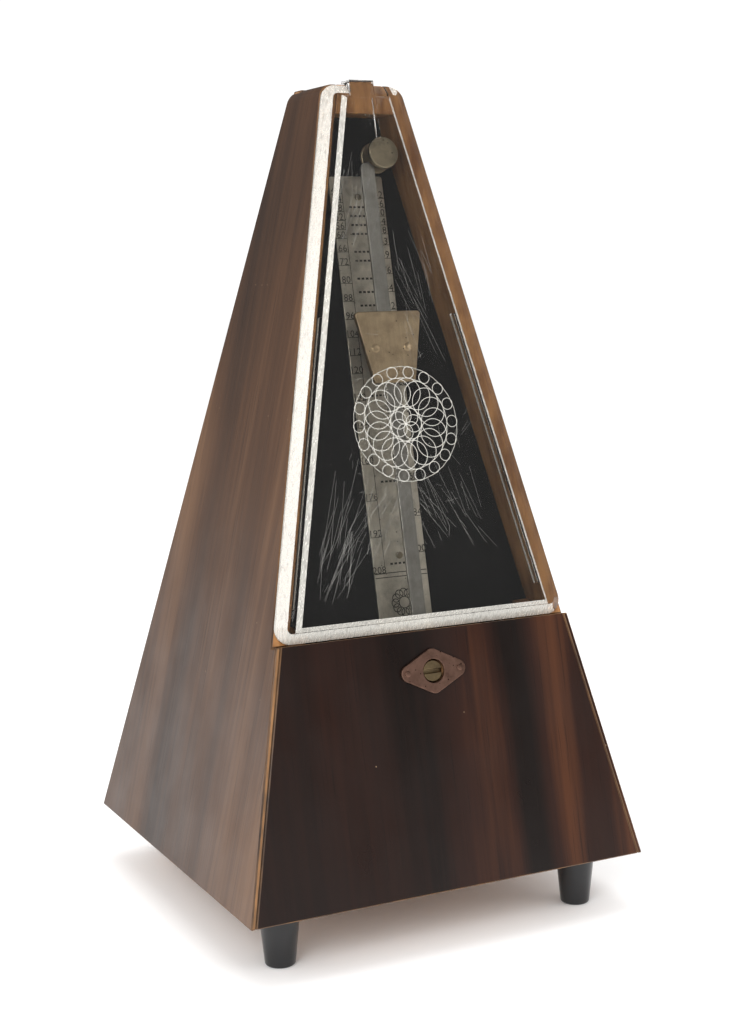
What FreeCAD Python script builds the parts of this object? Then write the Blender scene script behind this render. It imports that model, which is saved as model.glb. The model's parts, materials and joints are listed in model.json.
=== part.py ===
"""Mechanical metronome in a leaning wooden case.

Frame: +Z up, +Y to the back, origin on the table under the middle of the case. Millimetres.
"Face frame" means the leaning front: x to the right, d straight into the case, s up the slope.
"""
import FreeCAD, Part
import Sketcher
import os
from math import atan, atan2, ceil, cos, degrees, pi, radians, sin, sqrt, tan

V = FreeCAD.Vector
Rotation = FreeCAD.Rotation
Placement = FreeCAD.Placement

SIZES = [
    # case
    ("base_side", 115.0, "side of the square at the foot of the case"),
    ("top_side", 22.8, "side of the square at the top of the case"),
    ("case_height", 206.5, "height of the case above its underside"),
    ("foot_height", 15.5, "height of the feet"),
    ("foot_top_radius", 5.5, "foot radius at the case"),
    ("foot_bottom_radius", 3.9, "foot radius at the table"),
    ("foot_inset", 13.1, "foot centre from the sides of the case"),
    ("panel_thickness", 4.5, "thickness of the four leaning panels"),
    ("panel_lip", 1.3, "edge of a side panel left showing beside the front and back panels"),
    ("base_thickness", 5.0, "thickness of the base board"),
    ("top_radius", 4.2, "rounding of the two upper side edges"),
    ("block_height", 8.0, "height of the block that closes the top"),
    ("corner_block", 5.2, "width of the corner blocks"),
    ("corner_block_depth", 8.0, "depth of the corner blocks behind the panels"),
    # door
    ("door_bottom", 67.4, "lower edge of the door, up the slope"),
    ("door_seat", 2.5, "thickness of the clear door's plate, which lies flush in the front"),
    ("door_gap", 0.3, "room left all round the door"),
    ("door_radius", 4.0, "rounding of the door's corners"),
    ("bevel_width", 2.6, "bevel round the door's outer edge, across the front"),
    ("bevel_depth", 1.7, "bevel round the door's outer edge, into the case"),
    ("middle_proud", 1.2, "how far the door's middle stands out of its plate"),
    ("middle_side", 5.0, "raised middle from the sides of the door"),
    ("middle_high", 3.1, "raised middle from the door's upper edge"),
    ("middle_low", 2.7, "raised middle from the door's lower edge"),
    ("middle_slope", 1.1, "sloped edge of the raised middle"),
    ("guide_wall", 1.2, "thickness and depth of the two guides behind the plate"),
    ("guide_low", 76.0, "lower end of the guides, up the slope"),
    ("guide_high", 150.0, "upper end of the guides, up the slope"),
    ("tongue_width", 7.1, "width of the clip at the top of the door"),
    ("tongue_side", -1.15, "middle of the clip, right of the middle of the door"),
    ("tongue_thickness", 0.6, "thickness of the clip"),
    ("tongue_reach", 4.5, "how far the clip lies over the top of the case"),
    ("rib_length", 15.0, "length of the thin rib down from the clip"),
    ("rib_width", 1.1, "width of the rib"),
    ("rib_side", 1.6, "rib, right of the middle of the door"),
    ("rib_proud", 0.5, "how far the rib stands out"),
    # dial
    ("board_depth", 13.2, "front of the dial board behind the face"),
    ("board_thickness", 2.0, "thickness of the dial board"),
    ("board_bottom", 64.0, "lower end of the dial board, up the slope"),
    ("batten", 4.0, "section of the two strips behind the dial board"),
    ("scale_width", 15.8, "width of the tempo scale plate"),
    ("scale_thickness", 0.5, "thickness of the tempo scale plate"),
    ("scale_low", 68.0, "lower end of the scale plate"),
    ("scale_high", 190.0, "upper end of the scale plate"),
    ("nail_radius", 0.45, "radius of the scale nails"),
    ("nail_low", 87.4, "lower scale nail, up the slope"),
    ("nail_high", 184.2, "upper scale nail, up the slope"),
    ("pin_height", 193.8, "rest pin, up the slope"),
    ("pin_side", 4.3, "rest pin, right of the middle"),
    ("pin_disc_radius", 4.25, "radius of the rest pin's two discs"),
    ("pin_neck_radius", 1.5, "radius between the discs"),
    ("pin_stem_radius", 1.8, "radius of the pin's stem"),
    # escutcheon
    ("plate_width", 19.0, "escutcheon plate, point to point across"),
    ("plate_tall", 11.4, "escutcheon plate, point to point upwards"),
    ("plate_corner", 2.2, "rounding of the escutcheon's points"),
    ("plate_sheet", 0.8, "thickness of the escutcheon and key plates"),
    ("plate_hole", 3.1, "radius of the hole in the escutcheon"),
    ("plate_pin_side", 7.65, "escutcheon pins from the middle"),
    # pendulum
    ("pivot_height", 56.4, "axis of the pendulum, up the slope"),
    ("rod_width", 4.0, "width of the pendulum rod"),
    ("rod_thickness", 1.0, "thickness of the pendulum rod"),
    ("rod_depth", 5.0, "front of the rod behind the face"),
    ("rod_top", 191.6, "tip of the rod, up the slope"),
    ("screw_head", 5.2, "length of the pendulum screw's head"),
    ("screw_radius", 2.75, "radius of the pendulum screw's head"),
    ("bob_drop", 31.0, "middle of the bob below the pivot"),
    ("bob_radius", 12.5, "radius of the bob"),
    ("bob_length", 14.0, "length of the bob"),
    ("arbor_radius", 1.5, "radius of the pendulum arbor"),
    ("pallet_reach", 3.1, "reach of the pallet flags from the arbor's axis"),
    ("turning_gap", 0.05, "radial play of a turning shaft in its hole"),
    # sliding weight
    ("weight_top", 19.5, "width of the weight at its top"),
    ("weight_bottom", 12.0, "width of the weight at its bottom"),
    ("weight_tall", 18.9, "height of the weight"),
    ("weight_thickness", 1.6, "thickness of the weight's plate"),
    ("weight_height", 132.3, "lower edge of the weight at rest, up the slope"),
    ("rivet_side", 4.8, "rivets from the middle of the weight"),
    ("rivet_drop", 9.7, "rivets below the weight's upper edge"),
    ("relief_half", 11.0, "half the width of the weight's room behind the front panel"),
    ("relief_low", 60.0, "lower end of that room, up the slope"),
    # movement
    ("frame_left", -18.2, "outer face of the left movement plate"),
    ("frame_right", 25.2, "outer face of the right movement plate"),
    ("plate_metal", 1.2, "thickness of the movement's plates"),
    ("pillar_radius", 2.5, "radius of the pillars"),
    ("bridge_depth", 21.5, "front bearing bridge behind the face"),
    ("escape_depth", 36.0, "escape wheel's axis behind the face"),
    ("cock_depth", 49.0, "rear bearing cock behind the face"),
    ("crown_radius", 9.6, "radius of the escape wheel"),
    ("great_module", 0.6, "module of the great wheel and its pinion"),
    ("second_module", 0.5, "module of the second wheel and the escape pinion"),
    ("barrel_back", 20.5, "barrel's axis behind the middle of the case"),
    ("barrel_height", 50.0, "barrel's axis above the table"),
    ("barrel_radius", 19.5, "outer radius of the barrel"),
    ("barrel_length", 10.5, "length of the barrel beside the great wheel"),
    ("lug_front", -18.0, "front lug screws behind the middle of the case"),
    ("lug_rear", 27.0, "rear lug screws behind the middle of the case"),
    ("lug_width", 8.0, "width of the lugs the movement stands on"),
    ("plate_top", 80.0, "top of the movement's plates above the table"),
    ("square", 3.4, "square on the barrel arbor"),
    ("key_span", 26.0, "width of the winding key's wings"),
]
GREAT_TEETH = 72
SECOND_PINION_TEETH = 12
SECOND_TEETH = 60
ESCAPE_PINION_TEETH = 12
CROWN_TEETH = 15
RATCHET_TEETH = 18

doc = FreeCAD.newDocument("metronome")
sheet = doc.addObject("Spreadsheet::Sheet", "Sizes")
for row, (alias, number, meaning) in enumerate(SIZES, start=1):
    sheet.set("A%d" % row, alias)
    sheet.set("B%d" % row, str(number))
    sheet.set("C%d" % row, meaning)
    sheet.setAlias("B%d" % row, alias)
doc.recompute()

nodes = []


def size(alias):
    """A driving dimension, as a number."""
    return float(sheet.get(alias))


# ---------------------------------------------------------------- places worked out from the sizes
SLOPE = (size("base_side") - size("top_side")) / 2 / size("case_height")
LEAN = atan(SLOPE)
WALL = size("panel_thickness") / cos(LEAN)
CASE_TOP = size("foot_height") + size("case_height")
FACE_LENGTH = size("case_height") / cos(LEAN)
FACE = Placement(V(0, -size("base_side") / 2, size("foot_height")), Rotation(V(1, 0, 0), -degrees(LEAN)))
INTO_CASE = Rotation(V(1, 0, 0), -90)
ALONG_X = Rotation(V(0, 1, 0), 90)
# the same rules as text, for the expressions
SLOPE_X = "((Sizes.base_side - Sizes.top_side) / 2 / Sizes.case_height)"
STRETCH_X = "sqrt(1 + %s^2)" % SLOPE_X
WALL_X = "(Sizes.panel_thickness * %s)" % STRETCH_X
SINE_X = "(%s / %s)" % (SLOPE_X, STRETCH_X)


def on_face(x, d, s, turn=None):
    """Placement of a piece at x, d, s of the face frame."""
    return FACE * Placement(V(x, d, s), turn or Rotation())


def face_to_yz(d, s):
    """World y and z of a point of the face frame."""
    p = FACE * V(0, d, s)
    return p.y, p.z


def half_width(height):
    """Text for half the case's width at a height above its underside."""
    return "(Sizes.base_side / 2 - %s * (%s))" % (SLOPE_X, height)


def opening_half(s, depth="0"):
    """Text for half the room between the side panels, in the face frame."""
    return "(Sizes.base_side / 2 - %s - (%s) * %s + (%s) * %s * %s)" % (
        WALL_X, s, SINE_X, depth, SLOPE_X, SINE_X)


# ---------------------------------------------------------------- helpers
def bind(obj, **texts):
    """Ties properties of an object to the sheet."""
    for name, text in texts.items():
        obj.setExpression(name, str(text))
    return obj


def keep(label, obj):
    """Makes an object one of the exported sub-parts."""
    obj.Label = label
    nodes.append(obj)
    return obj


def box(name, length, width, height, place):
    obj = bind(doc.addObject("Part::Box", name), Length=length, Width=width, Height=height)
    obj.Placement = place
    return obj


def rod(name, radius, length, place):
    obj = bind(doc.addObject("Part::Cylinder", name), Radius=radius, Height=length)
    obj.Placement = place
    return obj


def joined(name, pieces):
    obj = doc.addObject("Part::MultiFuse", name)
    obj.Shapes = pieces
    return obj


def group(name, pieces):
    """Separate solids that share one object."""
    obj = doc.addObject("Part::Compound", name)
    obj.Links = pieces
    return obj


def cut(name, base, tools):
    obj = doc.addObject("Part::Cut", name)
    obj.Base = base
    obj.Tool = tools[0] if len(tools) == 1 else group(name + "_tools", tools)
    return obj


def leaning_wedge(name, low, high, x_sides, y_sides):
    """A block whose sides follow the pyramid. A side is (sign, inset from the outer face)."""
    obj = doc.addObject("Part::Wedge", name)

    def side(which, height):
        sign, inset = which
        return "%d * (%s - (%s))" % (sign, half_width(height), inset)

    # the wedge grows along its own Y, and its own Z is the world's -Y
    bind(obj, Ymin=low, Ymax=high,
         Xmin=side(x_sides[0], low), Xmax=side(x_sides[1], low),
         X2min=side(x_sides[0], high), X2max=side(x_sides[1], high),
         Zmin="-(%s)" % side(y_sides[1], low), Zmax="-(%s)" % side(y_sides[0], low),
         Z2min="-(%s)" % side(y_sides[1], high), Z2max="-(%s)" % side(y_sides[0], high))
    obj.Placement = Placement(V(0, 0, size("foot_height")), Rotation(V(1, 0, 0), 90))
    return obj


def new_body(name):
    return doc.addObject("PartDesign::Body", name)


def draw(body, role, points=(), circles=(), lift=None):
    """A sketch of one closed outline and any circles, every size tied to the sheet."""
    sketch = body.newObject("Sketcher::SketchObject", body.Name + "_sketch")
    plane = [f for f in body.Origin.OriginFeatures if f.Role == role][0]
    sketch.AttachmentSupport = (plane, [""])
    sketch.MapMode = "FlatFace"
    if lift is not None:
        sketch.setExpression(".AttachmentOffset.Base.z", lift)
    count = len(points)
    lines = []
    for i in range(count):
        a = 2 * pi * i / count
        b = 2 * pi * (i + 1) / count
        lines.append(sketch.addGeometry(
            Part.LineSegment(V(9 * cos(a), 9 * sin(a), 0), V(9 * cos(b), 9 * sin(b), 0))))
    for i in range(count):
        sketch.addConstraint(
            Sketcher.Constraint("Coincident", lines[i], 2, lines[(i + 1) % count], 1))
    for line, (across, up) in zip(lines, points):
        for kind, text in (("DistanceX", across), ("DistanceY", up)):
            index = sketch.addConstraint(Sketcher.Constraint(kind, -1, 1, line, 1, 1.0))
            sketch.setExpression("Constraints[%d]" % index, str(text))
    for across, up, radius in circles:
        ring = sketch.addGeometry(Part.Circle(V(1, 1, 0), V(0, 0, 1), 1.0))
        index = sketch.addConstraint(Sketcher.Constraint("Radius", ring, 1.0))
        sketch.setExpression("Constraints[%d]" % index, str(radius))
        for kind, text in (("DistanceX", across), ("DistanceY", up)):
            index = sketch.addConstraint(Sketcher.Constraint(kind, -1, 1, ring, 3, 1.0))
            sketch.setExpression("Constraints[%d]" % index, str(text))
    return sketch


def pad(body, sketch, length, backwards=False):
    feature = body.newObject("PartDesign::Pad", body.Name + "_pad")
    feature.Profile = sketch
    feature.Reversed = backwards
    bind(feature, Length=length)
    return feature


def pocket(body, sketch):
    """Cuts a sketch right through the body."""
    feature = body.newObject("PartDesign::Pocket", body.Name + "_pocket")
    feature.Profile = sketch
    feature.Type = "ThroughAll"
    feature.Midplane = True
    return feature


def round_edges(body, radius, wanted):
    """Fillets the edges of the body's last feature that wanted(edge) picks."""
    doc.recompute()
    last = body.Tip
    names = ["Edge%d" % (i + 1) for i, e in enumerate(last.Shape.Edges) if wanted(e)]
    feature = body.newObject("PartDesign::Fillet", body.Name + "_fillet")
    feature.Base = (last, names)
    bind(feature, Radius=radius)
    return feature


def bevel_edges(body, across, deep, wanted):
    """Bevels the edges of the body's last feature that wanted(edge) picks: across the front, into the side."""
    doc.recompute()
    last = body.Tip
    names = ["Edge%d" % (i + 1) for i, e in enumerate(last.Shape.Edges) if wanted(e)]
    feature = body.newObject("PartDesign::Chamfer", body.Name + "_bevel")
    feature.Base = (last, names)
    feature.ChamferType = "Two distances"
    bind(feature, Size=deep, Size2=across)
    return feature


def turned(name, profile, place):
    """A turned piece: the (radius, length) profile spun about the body's own Z."""
    body = new_body(name)
    sketch = draw(body, "XZ_Plane", profile)
    feature = body.newObject("PartDesign::Revolution", name + "_turn")
    feature.Profile = sketch
    feature.ReferenceAxis = (sketch, ["V_Axis"])
    feature.Angle = 360
    body.Placement = place
    return body


def slot(body, length, width, depth, height=0):
    """A screwdriver slot cut into the top or, at height 0, the bottom of a turned piece."""
    cutter = body.newObject("PartDesign::SubtractiveBox", body.Name + "_slot")
    cutter.Length, cutter.Width, cutter.Height = length, width, depth
    cutter.Placement = Placement(V(-length / 2, -width / 2, height), Rotation())
    return cutter


def upright(edge):
    """True for an edge along the body's Y, as on a plate that lies in the face."""
    if len(edge.Vertexes) != 2:
        return False
    a, b = (v.Point for v in edge.Vertexes)
    return abs(a.x - b.x) < 1e-4 and abs(a.z - b.z) < 1e-4


def stadium(s_low, s_high, half, x="0"):
    """Corner points of an upright strip in the face."""
    return [("%s - (%s)" % (x, half), s_low), ("%s + (%s)" % (x, half), s_low),
            ("%s + (%s)" % (x, half), s_high), ("%s - (%s)" % (x, half), s_high)]


def lug_spots():
    """Where the movement is screwed to the base board: (x, y), left ones first."""
    half = size("lug_width") / 2
    return [(x, size(y)) for x in (size("frame_left") - half, size("frame_right") + half)
            for y in ("lug_front", "lug_rear")]


# ---------------------------------------------------------------- case
def make_case():
    """Four leaning panels, top block, base board and corner blocks."""
    low, high = "0", "Sizes.case_height"
    far = 2 * size("base_side")

    between_lips = ((-1, "Sizes.panel_lip"), (1, "Sizes.panel_lip"))

    def front_wedge(name):
        return leaning_wedge(name, low, "Sizes.case_height / 2", between_lips, ((-1, "0"), (-1, WALL_X)))

    def back_wedge(name):
        return leaning_wedge(name, low, high, between_lips, ((1, WALL_X), (1, "0")))

    def door_room(name):
        """The space in front of the panels that the door's plate lies in."""
        tool = box(name, far, "Sizes.door_seat + Sizes.door_gap + 10", far, Placement())
        tool.Placement = on_face(-far / 2, -10, size("door_bottom") - size("door_gap"))
        return tool

    def above_front(name):
        """Everything above the front panel's upper edge."""
        tool = box(name, far, far, far, Placement())
        tool.Placement = on_face(-far / 2, -far / 2, size("door_bottom") - size("door_gap"))
        return tool

    def front_panel_solid(name):
        return cut(name, front_wedge(name + "_board"), [above_front(name + "_end")])

    def top_rounding(name, side):
        """Waste outside the round upper edge of one side panel."""
        radius = size("top_radius")
        centre = V(size("top_side") / 2 + radius * SLOPE - radius / cos(LEAN), -far / 2, CASE_TOP - radius)
        corner = box(name + "_corner", 3 * radius, far, 3 * radius, Placement(centre, Rotation()))
        # the quarter that is kept runs from the top face round to the leaning face
        core = rod(name + "_core", "Sizes.top_radius", far, Placement(centre, INTO_CASE))
        below = Placement(centre, Rotation(V(0, 1, 0), -degrees(LEAN)))
        below = below * Placement(V(0, 0, -6 * radius), Rotation())
        waste = cut(name, corner, [core, box(name + "_keep", 3 * radius, far, 6 * radius, below)])
        if side > 0:
            return waste
        mirror = doc.addObject("Part::Mirroring", name + "_left")
        mirror.Source = waste
        mirror.Normal = V(1, 0, 0)
        return mirror

    for side, label in ((-1, "left_side_panel"), (1, "right_side_panel")):
        sides = ((-1, "0"), (-1, WALL_X)) if side < 0 else ((1, WALL_X), (1, "0"))
        board = leaning_wedge(label + "_board", low, high, sides, ((-1, "0"), (1, "0")))
        tools = [front_panel_solid(label + "_front_seat"), back_wedge(label + "_back_seat"),
                 door_room(label + "_door_room"), top_rounding(label + "_rounding", side)]
        if side > 0:
            tools.append(rod("key_opening", "Sizes.square / 2 + 2", 40,
                             Placement(V(30, size("barrel_back"), size("barrel_height")), ALONG_X)))
        keep(label, cut(label, board, tools))

    pivot_y_z = on_face(0, -1, size("pivot_height"), INTO_CASE)
    front_tools = [rod("pivot_opening", "Sizes.plate_hole + 0.2", 12, pivot_y_z)]
    for side in (-1, 1):
        place = on_face(side * size("plate_pin_side"), -1, size("pivot_height"), INTO_CASE)
        front_tools.append(rod("pin_hole", "0.5", 4, place))
    behind_plate = size("rod_depth") - size("door_gap") - size("weight_thickness") - size("door_gap")
    front_tools.append(box("weight_room", "2 * Sizes.relief_half", 10, 20,
                           on_face(-size("relief_half"), behind_plate, size("relief_low"))))
    keep("front_lower_panel", cut("front_lower_panel", front_panel_solid("front_panel"), front_tools))

    keep("back_panel", back_wedge("back_panel"))

    block = leaning_wedge("top_block_blank", "Sizes.case_height - Sizes.block_height", high,
                          ((-1, WALL_X), (1, WALL_X)), ((-1, "0"), (1, WALL_X)))
    keep("top_block", cut("top_block", block, [door_room("top_block_room")]))

    inset = size("base_side") / 2 - size("foot_inset")
    foot_spots = {"front_left_foot": (-inset, -inset), "front_right_foot": (inset, -inset),
                  "rear_foot": (0, inset)}
    board = leaning_wedge("base_board_blank", low, "Sizes.base_thickness",
                          ((-1, WALL_X), (1, WALL_X)), ((-1, WALL_X), (1, WALL_X)))
    holes = [rod("foot_hole", "1.5", 10, Placement(V(x, y, size("foot_height") - 2), Rotation()))
             for x, y in foot_spots.values()]

    # corner blocks, with a screw through the base board into each
    block_spot = size("base_side") / 2 - WALL - size("corner_block") / 2 - 2.5
    screws = []
    for front, where in ((-1, "front"), (1, "rear")):
        for side, hand in ((-1, "left"), (1, "right")):
            label = "%s_%s_block" % (where, hand)
            inner = "%s + Sizes.corner_block" % WALL_X
            deep = "%s + Sizes.corner_block_depth" % WALL_X
            x_sides = ((-1, WALL_X), (-1, inner)) if side < 0 else ((1, inner), (1, WALL_X))
            if front < 0:
                height = "(Sizes.door_bottom + 2) / %s" % STRETCH_X
                blank = leaning_wedge(label + "_blank", "Sizes.base_thickness", height, x_sides,
                                      ((-1, "0"), (-1, deep)))
                tools = [front_panel_solid(label + "_front"), door_room(label + "_door")]
            else:
                height = "60"
                blank = leaning_wedge(label + "_blank", "Sizes.base_thickness", height, x_sides,
                                      ((1, deep), (1, WALL_X)))
                tools = []
            x, y = side * block_spot, front * (block_spot - 1)
            place = Placement(V(x, y, size("foot_height")), Rotation())
            tools.append(rod(label + "_hole", "0.9", 12, place))
            holes.append(rod("board_hole", "0.9", 12, place))
            holes.append(rod("board_sink", "1.9", 1.2, place))
            keep(label, cut(label, blank, tools))
            profile = [("0", "0.1"), ("1.9", "0.1"), ("1.9", "1.2"), ("0.9", "1.2"), ("0.9", "11"),
                       ("0", "12")]
            screw = turned("base_screw", profile, place)
            slot(screw, 5, 0.6, 0.6, 0)
            screws.append(screw)
    keep("base_screws", group("base_screws", screws))

    for x, y in lug_spots():
        holes.append(rod("lug_hole", "0.9", 10, Placement(V(x, y, size("foot_height") + 0.5), Rotation())))
    keep("base_board", cut("base_board", board, holes))

    screws = []
    for label, (x, y) in foot_spots.items():
        place = Placement(V(x, y, 0), Rotation())
        profile = [("3", "0"), ("Sizes.foot_bottom_radius", "0"),
                   ("Sizes.foot_top_radius", "Sizes.foot_height"), ("1.5", "Sizes.foot_height"),
                   ("1.5", "7"), ("3", "7")]
        foot = turned(label, profile, place)
        doc.recompute()
        round_edges(foot, "0.7", lambda e: (len(e.Vertexes) == 1 and abs(e.Vertexes[0].Z) < 1e-4
                                            and e.BoundBox.XLength > 7))
        keep(label, foot)
        profile = [("0", "4.6"), ("2.7", "4.6"), ("2.7", "7"), ("1.5", "7"),
                   ("1.5", "Sizes.foot_height + 3.5"), ("0", "Sizes.foot_height + 5")]
        screw = turned("foot_screw", profile, place)
        slot(screw, 6, 0.8, 0.9, 4.6)
        screws.append(screw)
    keep("foot_screws", group("foot_screws", screws))


# ---------------------------------------------------------------- door
def make_door():
    """Clear door: bevelled plate, raised middle, two guides behind it, clip over the top and a thin rib."""
    top = "Sizes.case_height * %s" % STRETCH_X

    def outline(inset, low, high):
        half_low = "Sizes.base_side / 2 - (%s) * %s - (%s)" % (low, SINE_X, inset)
        half_high = "Sizes.base_side / 2 - (%s) * %s - (%s)" % (high, SINE_X, inset)
        return [("-(%s)" % half_low, low), (half_low, low), (half_high, high), ("-(%s)" % half_high, high)]

    def in_plane(depth):
        return lambda edge: all(abs(v.Point.y - depth) < 1e-4 for v in edge.Vertexes)

    body = new_body("door_moulding")
    pad(body, draw(body, "XZ_Plane", outline("0", "Sizes.door_bottom", top)), "Sizes.door_seat", True)
    round_edges(body, "Sizes.door_radius", upright)
    bevel_edges(body, "Sizes.bevel_width", "Sizes.bevel_depth", in_plane(0))
    low, high = "Sizes.door_bottom + Sizes.middle_low", "%s - Sizes.middle_high" % top
    pad(body, draw(body, "XZ_Plane", outline("Sizes.middle_side", low, high)), "Sizes.middle_proud")
    bevel_edges(body, "Sizes.middle_slope", "Sizes.middle_slope", in_plane(-size("middle_proud")))
    inner = "(%s + Sizes.door_gap)" % WALL_X
    for side in (-1, 1):
        guide = []
        for s, wall in (("Sizes.guide_low", "0"), ("Sizes.guide_high", "0"),
                        ("Sizes.guide_high", "Sizes.guide_wall"), ("Sizes.guide_low", "Sizes.guide_wall")):
            guide.append(("%d * (Sizes.base_side / 2 - %s * %s - %s - %s)" % (side, s, SINE_X, inner, wall), s))
        pad(body, draw(body, "XZ_Plane", guide, lift="-Sizes.door_seat"), "Sizes.guide_wall", True)
    # the clip rises from the raised middle and lies back over the case
    rise_low = "%s - Sizes.middle_high - Sizes.middle_slope" % top
    rise_high = "%s + Sizes.door_gap + Sizes.tongue_thickness" % top
    rise = stadium(rise_low, rise_high, "Sizes.tongue_width / 2", "Sizes.tongue_side")
    pad(body, draw(body, "XZ_Plane", rise, lift="0.5 * Sizes.middle_proud"),
        "Sizes.door_seat + 0.5 * Sizes.middle_proud", True)
    rib = stadium("%s - Sizes.rib_length" % top, rise_low, "Sizes.rib_width / 2", "Sizes.rib_side")
    pad(body, draw(body, "XZ_Plane", rib, lift="Sizes.middle_proud"), "Sizes.rib_proud")
    body.Placement = FACE
    over = box("tongue_over", "Sizes.tongue_width", "Sizes.tongue_reach", "Sizes.tongue_thickness",
               Placement(V(size("tongue_side") - size("tongue_width") / 2, -size("top_side") / 2,
                           CASE_TOP + size("door_gap")), Rotation()))
    keep("clear_door", joined("clear_door", [body, over]))


# ---------------------------------------------------------------- dial
def make_dial():
    """Dial board, its battens, the scale plate, nails and the rest pin."""
    top = "(Sizes.case_height - Sizes.block_height + Sizes.board_depth * %s) * %s" % (SINE_X, STRETCH_X)
    board = new_body("dial_board_blank")
    low_half = opening_half("Sizes.board_bottom", "Sizes.board_depth")
    high_half = opening_half(top, "Sizes.board_depth")
    pad(board, draw(board, "XZ_Plane", [("-" + low_half, "Sizes.board_bottom"), (low_half, "Sizes.board_bottom"),
                                        (high_half, top), ("-" + high_half, top)],
                    lift="-Sizes.board_depth"), "Sizes.board_thickness", True)
    board.Placement = FACE
    depth, thick = size("board_depth"), size("board_thickness")
    nail_spots = (size("nail_low"), size("nail_high"))
    holes = [rod("nail_hole", "Sizes.nail_radius", 6, on_face(0, depth - 1, s, INTO_CASE)) for s in nail_spots]
    holes.append(rod("rest_pin_hole", "Sizes.pin_neck_radius", 6,
                     on_face(size("pin_side"), depth - 1, size("pin_height"), INTO_CASE)))
    keep("dial_board", cut("dial_board", board, holes))

    for side, hand in ((-1, "left"), (1, "right")):
        batten = new_body(hand + "_board_batten")
        back = "Sizes.board_depth + Sizes.board_thickness"
        low, high = "95", "Sizes.pin_height - 6"
        points = []
        for s, inset in ((low, "0"), (high, "0"), (high, "Sizes.batten"), (low, "Sizes.batten")):
            points.append(("%d * (%s - %s)" % (side, opening_half(s, back), inset), s))
        pad(batten, draw(batten, "XZ_Plane", points, lift="-(%s)" % back), "Sizes.batten", True)
        batten.Placement = FACE
        keep(hand + "_board_batten", batten)

    plate = new_body("scale_plate")
    front = "-(Sizes.board_depth - Sizes.scale_thickness)"
    pad(plate, draw(plate, "XZ_Plane", stadium("Sizes.scale_low", "Sizes.scale_high", "Sizes.scale_width / 2"),
                    lift=front), "Sizes.scale_thickness", True)
    round_edges(plate, "0.8", upright)
    pocket(plate, draw(plate, "XZ_Plane", circles=[("0", "Sizes.nail_low", "Sizes.nail_radius"),
                                                   ("0", "Sizes.nail_high", "Sizes.nail_radius")],
                       lift=front))
    plate.Placement = FACE
    keep("scale_plate", plate)

    nails = []
    for s in nail_spots:
        profile = [("0", "0"), ("0.95", "0"), ("0.95", "0.4"), ("Sizes.nail_radius", "0.4"),
                   ("Sizes.nail_radius", "0.4 + Sizes.scale_thickness + Sizes.board_thickness"),
                   ("0", "0.4 + Sizes.scale_thickness + Sizes.board_thickness")]
        place = on_face(0, depth - size("scale_thickness") - 0.4, s, INTO_CASE)
        nails.append(turned("scale_nail", profile, place))
    keep("scale_nails", group("scale_nails", nails))

    disc_front = size("door_seat") + 0.5
    stem = "Sizes.board_depth - %s" % disc_front
    profile = [("0", "0"), ("Sizes.pin_disc_radius", "0"), ("Sizes.pin_disc_radius", "1.3"),
               ("Sizes.pin_neck_radius", "1.3"), ("Sizes.pin_neck_radius", "5"),
               ("Sizes.pin_disc_radius", "5"), ("Sizes.pin_disc_radius", "6"),
               ("Sizes.pin_stem_radius", "6"), ("Sizes.pin_stem_radius", stem),
               ("Sizes.pin_neck_radius", stem), ("Sizes.pin_neck_radius", stem + " + Sizes.board_thickness"),
               ("0", stem + " + Sizes.board_thickness")]
    keep("rest_pin", turned("rest_pin", profile,
                            on_face(size("pin_side"), disc_front, size("pin_height"), INTO_CASE)))


def make_escutcheon():
    """Diamond plate round the pivot hole, and its two pins."""
    plate = new_body("escutcheon_plate")
    pivot = "Sizes.pivot_height"
    # the rounding takes this much off the points
    point_half, crest_half = "(Sizes.plate_width / 2 + 2.5)", "(Sizes.plate_tall / 2 + 0.4)"
    points = [("-" + point_half, pivot), ("0", pivot + " - " + crest_half),
              (point_half, pivot), ("0", pivot + " + " + crest_half)]
    pad(plate, draw(plate, "XZ_Plane", points), "Sizes.plate_sheet")
    round_edges(plate, "Sizes.plate_corner", upright)
    pocket(plate, draw(plate, "XZ_Plane", circles=[
        ("0", pivot, "Sizes.plate_hole"),
        ("Sizes.plate_pin_side", pivot, "0.5"), ("-Sizes.plate_pin_side", pivot, "0.5")]))
    plate.Placement = FACE
    keep("escutcheon_plate", plate)
    pins = []
    for side in (-1, 1):
        profile = [("0", "-0.35"), ("0.75", "-0.25"), ("0.85", "0"), ("0.5", "0"),
                   ("0.5", "2.5 + Sizes.plate_sheet"), ("0", "3 + Sizes.plate_sheet")]
        place = on_face(side * size("plate_pin_side"), -size("plate_sheet"), size("pivot_height"), INTO_CASE)
        pins.append(turned("escutcheon_pin", profile, place))
    keep("escutcheon_pins", group("escutcheon_pins", pins))


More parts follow.
